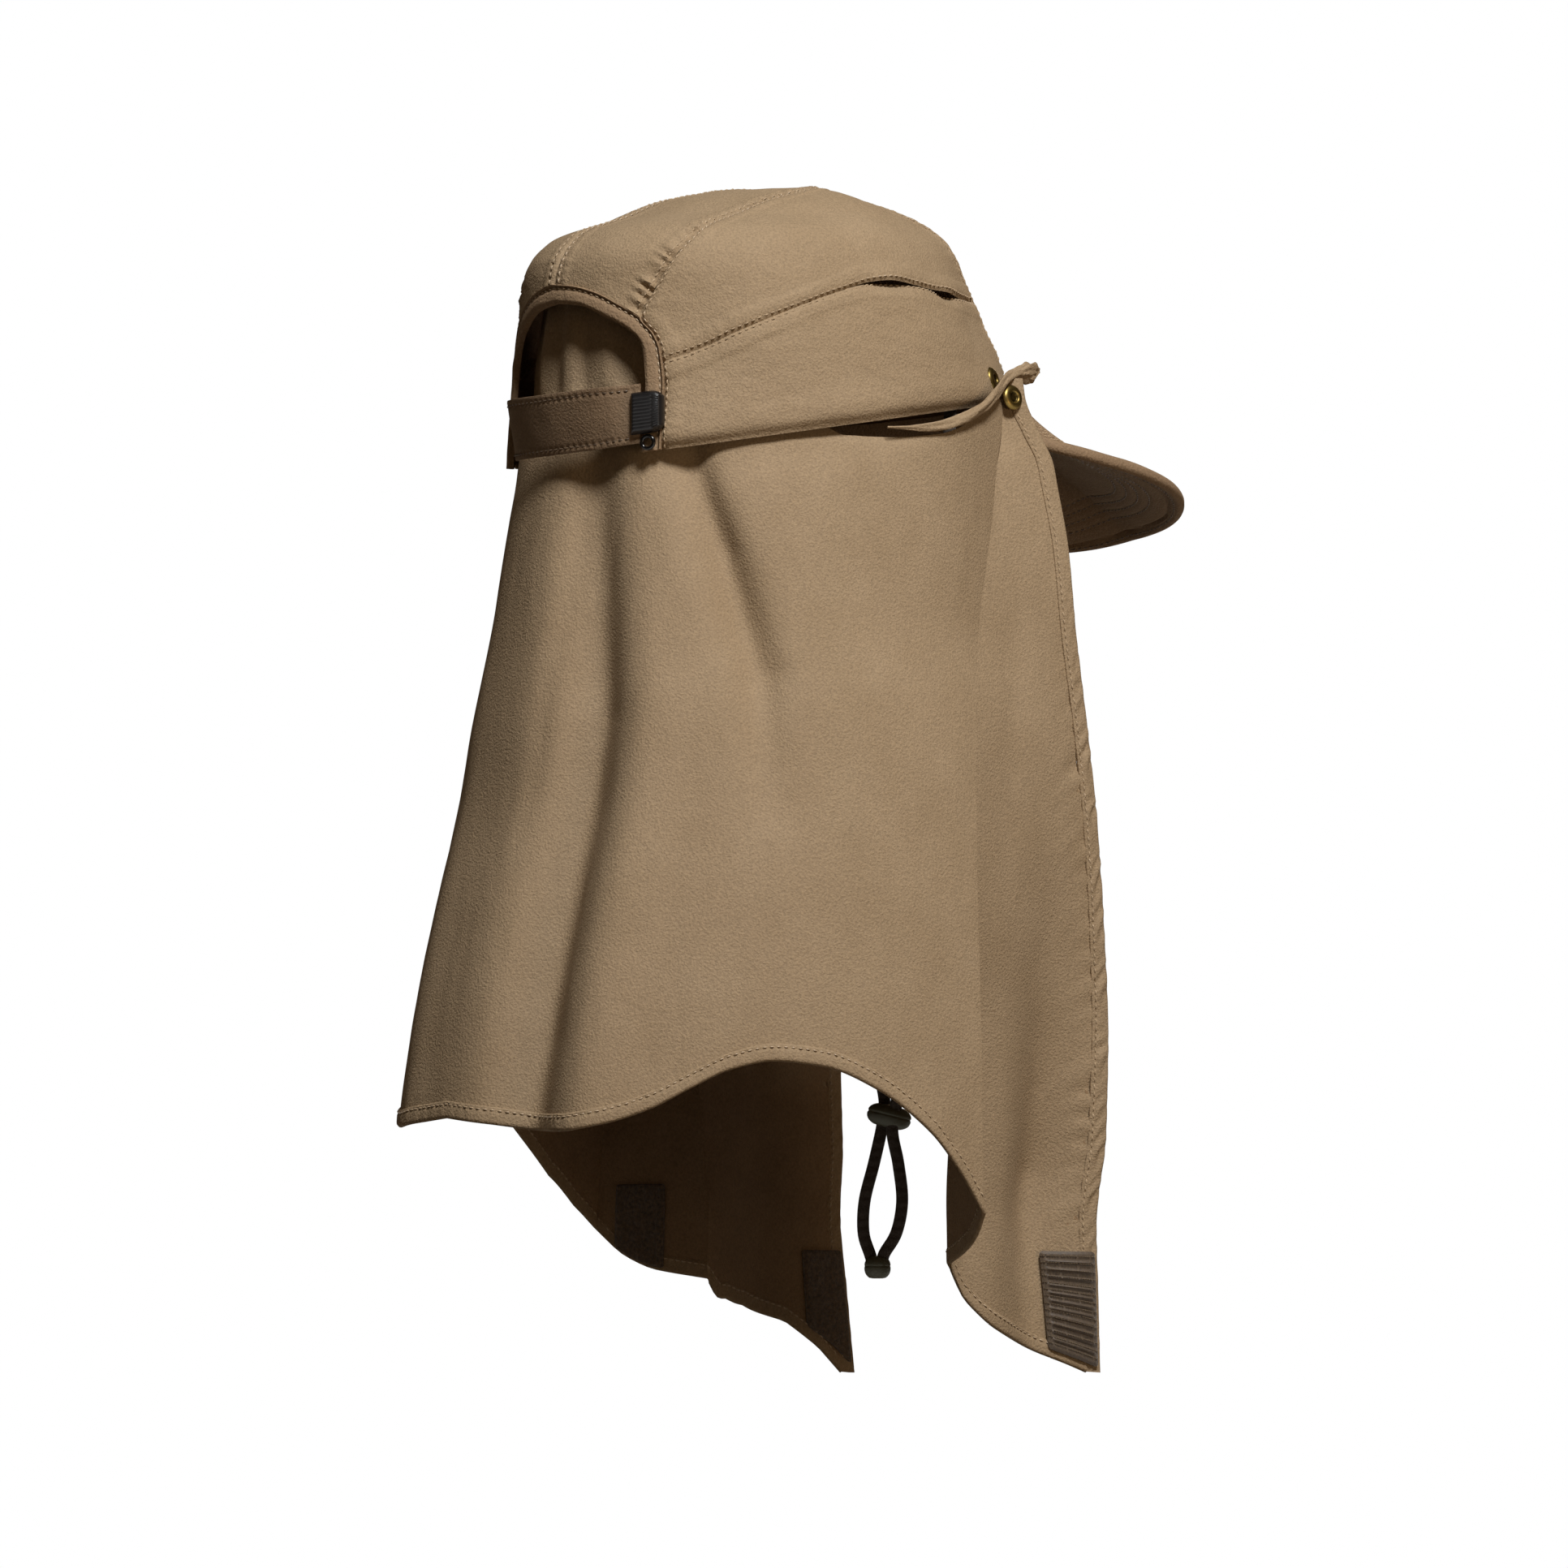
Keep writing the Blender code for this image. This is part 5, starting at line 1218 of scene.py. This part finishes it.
def makeHooks(name, outer, normal):
    # rows of small hooks, drawn about twice as coarse as real ones so that they show
    points, faces = [], []
    rows, columns = outer.shape[:2]
    bends, sides = hookSize["bends"], hookSize["sides"]
    for r in range(hookSize["rows"]):
        for c in range(hookSize["columns"]):
            row = int((r + 0.72) / (hookSize["rows"] + 0.6) * (rows - 1))
            column = int((c + 0.8) / (hookSize["columns"] + 0.6) * (columns - 1))
            place, out = Vector(outer[row, column]), Vector(normal[row, column])
            beside = outer[row, min(column + 1, columns - 1)]
            sideways = Vector(beside - outer[row, column]).normalized()
            edgeways = out.cross(sideways)
            first = len(points)
            for n in range(bends):
                angle = pi * n / (bends - 1)
                middle = (place + out * (sin(angle) * hookSize["height"] - hookSize["sink"])
                          + sideways * cos(angle) * hookSize["reach"])
                other = (out * cos(angle) - sideways * sin(angle)).cross(edgeways)
                for m in range(sides):
                    turn = 2 * pi * m / sides
                    points.append(middle + (edgeways * cos(turn) + other * sin(turn))
                                  * hookSize["wire"])
            faces.extend(gridFaces(bends, sides, first, False, True))
    addPiece(name + "Hooks", points, faces, [hookNylon])


def makeTape(name, node, side, part, start, end, length, outside, finish, hooks):
    down = np.linspace(0, 1, tapeSize["rows"])[:, None]
    across = np.linspace(0, 1, tapeSize["columns"])[None, :]
    # rounded corners: the ends are narrower than the middle
    corner = 0.5 * tapeSize["corner"] * (1 - np.sqrt(np.clip(
        1 - (np.maximum(0, np.abs(2 * down - 1) - 0.92) / 0.08) ** 2, 0, 1)))
    share = mix(start, end, mix(corner, 1 - corner, across))
    low = capeBorder(part, share, "hem") + tapeSize["overHem"]
    if side < 0:
        low = low + farHemLift(part, share)
    height = mix(float(low[-1, -1]) + length, low, down)
    if part == "flap":
        base = flapSurface(side, share, height)
    else:
        base = capeSection(part, share, height)
    base[..., 0] *= side
    normal = normalsOf(base, (side if outside else -side, 0, 0))
    lift = capeCut["bandThickness"] / 2 + tapeSize["lift"]
    border = np.minimum(np.minimum(across, 1 - across) * tapeSize["width"],
                        np.minimum(down, 1 - down) * tapeSize["length"])
    puff = tapeSize["thickness"] * (0.55 + 0.45 * ramp(0.0, 1.2 * mm, border))
    if hooks:
        ground = np.maximum(0, np.sin(2 * pi * down * tapeSize["length"] / tapeSize["weavePitch"]))
        puff = puff + ground * tapeSize["weave"] * ramp(1.2 * mm, 2.6 * mm, border)
    else:
        fuzz = (noiseField(base, 1.6 * mm, seed=7.0) + noiseField(base, 4 * mm, seed=2.0)) / 2
        puff = puff + fuzz * tapeSize["fuzz"] * ramp(0.4 * mm, 2.0 * mm, border)
    outer, inner = base + normal * (lift + puff)[..., None], base + normal * lift
    clothPiece(name, outer, inner, [finish], [node])
    if hooks:
        makeHooks(name, outer, normal)


foot = -capeCut["drop"]
flapWidth = float(np.linalg.norm(capeSection("flap", 1.0, foot) - capeSection("flap", 0.0, foot)))
tapeShare = tapeSize["width"] / flapWidth
makeTape("hookStrip", "hook_strip", 1, "flap", 0.97 - tapeShare, 0.97, tapeSize["length"],
         True, hookTape, True)
makeTape("loopStrip", "loop_strip", -1, "flap", 0.97 - tapeShare, 0.97, tapeSize["length"],
         False, loopTape, False)
makeTape("hookPatch", "hook_patch", 1, "flap", 0.02, 0.02 + tapeShare / 2, tapeSize["length"],
         False, hookTape, True)
makeTape("loopPatch", "loop_patch", -1, "pleat", 0.18, 0.62, tapeSize["length"] * 0.75,
         False, loopTape, False)
print("touch tapes made")

# chin cord: one flat braid from inside the right of the crown, through the
# lock, round the bead, back through the lock and up to the left

cordSize = dict(width=4.6 * mm, thickness=2.3 * mm, step=1.6 * mm, heading=radians(52),
                sides=16, ripple=0.035, ripplePitch=3.2 * mm)
rightStrand = [
    (71.3, 34.1, 9.0), (69.9, 34.4, -6.0), (66.0, 35.5, -35.0), (57.5, 38.5, -80.0),
    (45.0, 43.0, -130.0), (29.0, 49.0, -180.0), (14.0, 57.0, -220.0), (6.0, 61.1, -240.0),
    (3.6, 62.2, -250.9)]
nearLoop = [(2.4, 61.1, -261.5), (4.2, 62.6, -274.0), (6.0, 63.0, -288.0), (5.2, 60.9, -300.0),
            (2.4, 57.2, -308.0), (1.4, 56.4, -312.0)]
farLoop = [(-1.4, 55.2, -312.0), (-2.8, 54.3, -308.0), (-4.6, 52.7, -300.0), (-4.8, 53.4, -288.0),
           (-3.6, 56.9, -274.0), (-2.4, 59.9, -260.1)]
leftStrand = [(-x, y, z) for x, y, z in rightStrand[::-1]]
cordRoute = smoothRoute([(x * mm, y * mm, z * mm) for x, y, z in
                         rightStrand + nearLoop + farLoop + leftStrand], 12)
cordRoute = resample([tuple(p) for p in cordRoute], cordSize["step"])


def makeCord():
    sides = cordSize["sides"]
    profile = []
    for n in range(sides):
        across, up = cos(2 * pi * n / sides), sin(2 * pi * n / sides)
        profile.append((cordSize["width"] / 2 * abs(across) ** 0.75 * (1 if across >= 0 else -1),
                        cordSize["thickness"] / 2 * abs(up) ** 0.85 * (1 if up >= 0 else -1)))
    # the flat of the braid lies along the line of sight between the strands
    points, rows = [], len(cordRoute)
    flat = Vector((cos(cordSize["heading"]), sin(cordSize["heading"]), 0.0))
    for n in range(rows):
        ahead = Vector(cordRoute[min(n + 1, rows - 1)]) - Vector(cordRoute[max(n - 1, 0)])
        ahead.normalize()
        wide = (flat - ahead * flat.dot(ahead)).normalized()
        thin = wide.cross(ahead).normalized()
        ripple = 1 + cordSize["ripple"] * sin(
            2 * pi * n * cordSize["step"] / cordSize["ripplePitch"])
        for x, y in profile:
            points.append(Vector(cordRoute[n]) + wide * x * ripple + thin * y * ripple)
    faces = gridFaces(rows, sides, 0, False, True)
    faces.append(tuple(range(sides - 1, -1, -1)))
    faces.append(tuple(range((rows - 1) * sides, rows * sides)))
    return addPiece("chinCord", points, faces, [cordBraid],
                    ["chin_cord_right", "chin_cord_left", "chin_loop_near", "chin_loop_far"])


cord = makeCord()


def makePebble(name, middle, size, tilt, node, waist):
    # a moulded pebble with flat ends for the cord and a shallow groove round its middle
    rows, sides = 40, 56
    points, faces = [], []
    turn = Matrix.Rotation(cordSize["heading"], 4, "Z") @ Matrix.Rotation(tilt, 4, "Y")
    for r in range(rows + 1):
        v = -1 + 2 * r / rows
        level = 0.5 * v
        radius = 0.5 * (1 - abs(v) ** 2.6 * 0.72) ** 0.5 if r not in (0, rows) else 0.18
        radius -= waist * exp(-((v - 0.1) / 0.09) ** 2)
        for n in range(sides):
            angle = 2 * pi * n / sides
            spot = Vector((radius * cos(angle) * size[0], radius * sin(angle) * size[1],
                           level * size[2]))
            points.append(Vector(middle) + turn @ spot)
    faces = gridFaces(rows + 1, sides, 0, False, True)
    faces.append(tuple(range(sides - 1, -1, -1)))
    faces.append(tuple(range(rows * sides, (rows + 1) * sides)))
    return addPiece(name, points, faces, [lockPlastic], [node])


lock = makePebble("cordLock", (0.0, 61.5 * mm, -256.0 * mm), (17 * mm, 8 * mm, 8.5 * mm),
                  radians(14), "cord_lock", 0.02)
bead = makePebble("cordBead", (0.0, 55.8 * mm, -313.2 * mm), (10 * mm, 8 * mm, 8.5 * mm),
                  0.0, "cord_bead", 0.015)
print("chin cord made")

# all stitches, one mesh for each group

facesPerStitch = (len(stitchRings) - 1) * stitchSize["sides"]
for group, (points, faces) in stitchBook.items():
    # stitches under the peak and on the strap take the thread with painted shade
    finish = shadedThread if group in ("peakStitching", "strapStitching") else topThread
    addPiece(group, points, faces, [finish])
    print(group, len(faces) // facesPerStitch, "stitches")

# studio: pale floor, white surround, one soft key light and weak fills

studio = dict(floorLevel=-0.47, floorRadius=1.5, floorSides=96, surround=0.055,
              warmth=(1.0, 0.74, 0.48, 1.0), target=(0.0, 0.0, -0.13))
lamps = [  # name, place, power, size
    ("keyLight", (1.52, -0.55, 1.66), 65.0, 0.6), ("fillFromCamera", (2.0, -2.0, 0.5), 1.5, 1.6),
    ("fillFromBelow", (2.2, 0.2, -0.40), 7.0, 0.8), ("fillFromFront", (-1.7, 1.7, 0.5), 12.0, 1.4)]


def makeStudio():
    material, tree, shader = newMaterial("paintedPaleFloor")
    setInputs(tree, shader, {"Base Color": linearColour("F2F1EF"), "Roughness": 0.75})
    sides, radius = studio["floorSides"], studio["floorRadius"]
    points = [(radius * cos(2 * pi * n / sides), radius * sin(2 * pi * n / sides),
               studio["floorLevel"]) for n in range(sides)]
    data = bpy.data.meshes.new("paleFloor")
    data.from_pydata(points, [], [tuple(range(sides))])
    data.materials.append(material)
    floor = bpy.data.objects.new("paleFloor", data)
    bpy.context.scene.collection.objects.link(floor)
    floor.visible_diffuse = False  # the floor throws no light up into the cape

    world = bpy.data.worlds.new("whiteSurround")
    bpy.context.scene.world = world
    world.use_nodes = True
    tree = world.node_tree
    tree.nodes.clear()
    seen = addNode(tree, "ShaderNodeLightPath").outputs["Is Camera Ray"]
    strength = addNode(tree, "ShaderNodeMix", {"Factor": seen, "A": studio["surround"], "B": 1.0},
                       data_type="FLOAT")
    tint = addNode(tree, "ShaderNodeMix", {"Factor": seen, "A": studio["warmth"], "B": (1, 1, 1, 1)},
                   data_type="RGBA")
    light = addNode(tree, "ShaderNodeBackground", {"Color": tint.outputs["Result"],
                                                   "Strength": strength.outputs["Result"]})
    addNode(tree, "ShaderNodeOutputWorld", {"Surface": light.outputs["Background"]})

    target = Vector(studio["target"])
    for name, place, power, size in lamps:
        lamp = bpy.data.lights.new(name, "AREA")
        lamp.energy, lamp.size = power, size
        lamp.shape = "DISK"
        if name != "keyLight":
            lamp.color = studio["warmth"][:3]
        lampObject = bpy.data.objects.new(name, lamp)
        bpy.context.scene.collection.objects.link(lampObject)
        lampObject.location = Vector(place)
        lampObject.rotation_euler = (target - Vector(place)).to_track_quat("-Z", "Y").to_euler()


makeStudio()

photoView = dict(place=(2.76329, -2.14809, -0.353), ahead=(-0.78644, 0.61444, 0.06304),
                 up=(0.04967, -0.03881, 0.99801), focalPixels=11480, framePixels=1932, sensor=36.0)


def makeCamera():
    lens = bpy.data.cameras.new("photoCamera")
    lens.sensor_width = photoView["sensor"]
    lens.lens = photoView["focalPixels"] / photoView["framePixels"] * photoView["sensor"]
    lens.clip_start, lens.clip_end = 0.05, 50.0
    camera = bpy.data.objects.new("photoCamera", lens)
    bpy.context.scene.collection.objects.link(camera)
    ahead, up = Vector(photoView["ahead"]).normalized(), Vector(photoView["up"])
    right = ahead.cross(up).normalized()
    up = right.cross(ahead).normalized()
    turn = Matrix((right, up, -ahead)).transposed().to_4x4()
    camera.matrix_world = Matrix.Translation(photoView["place"]) @ turn
    bpy.context.scene.camera = camera


makeCamera()
bpy.context.scene.view_settings.view_transform = "Standard"
print("studio and camera ready")
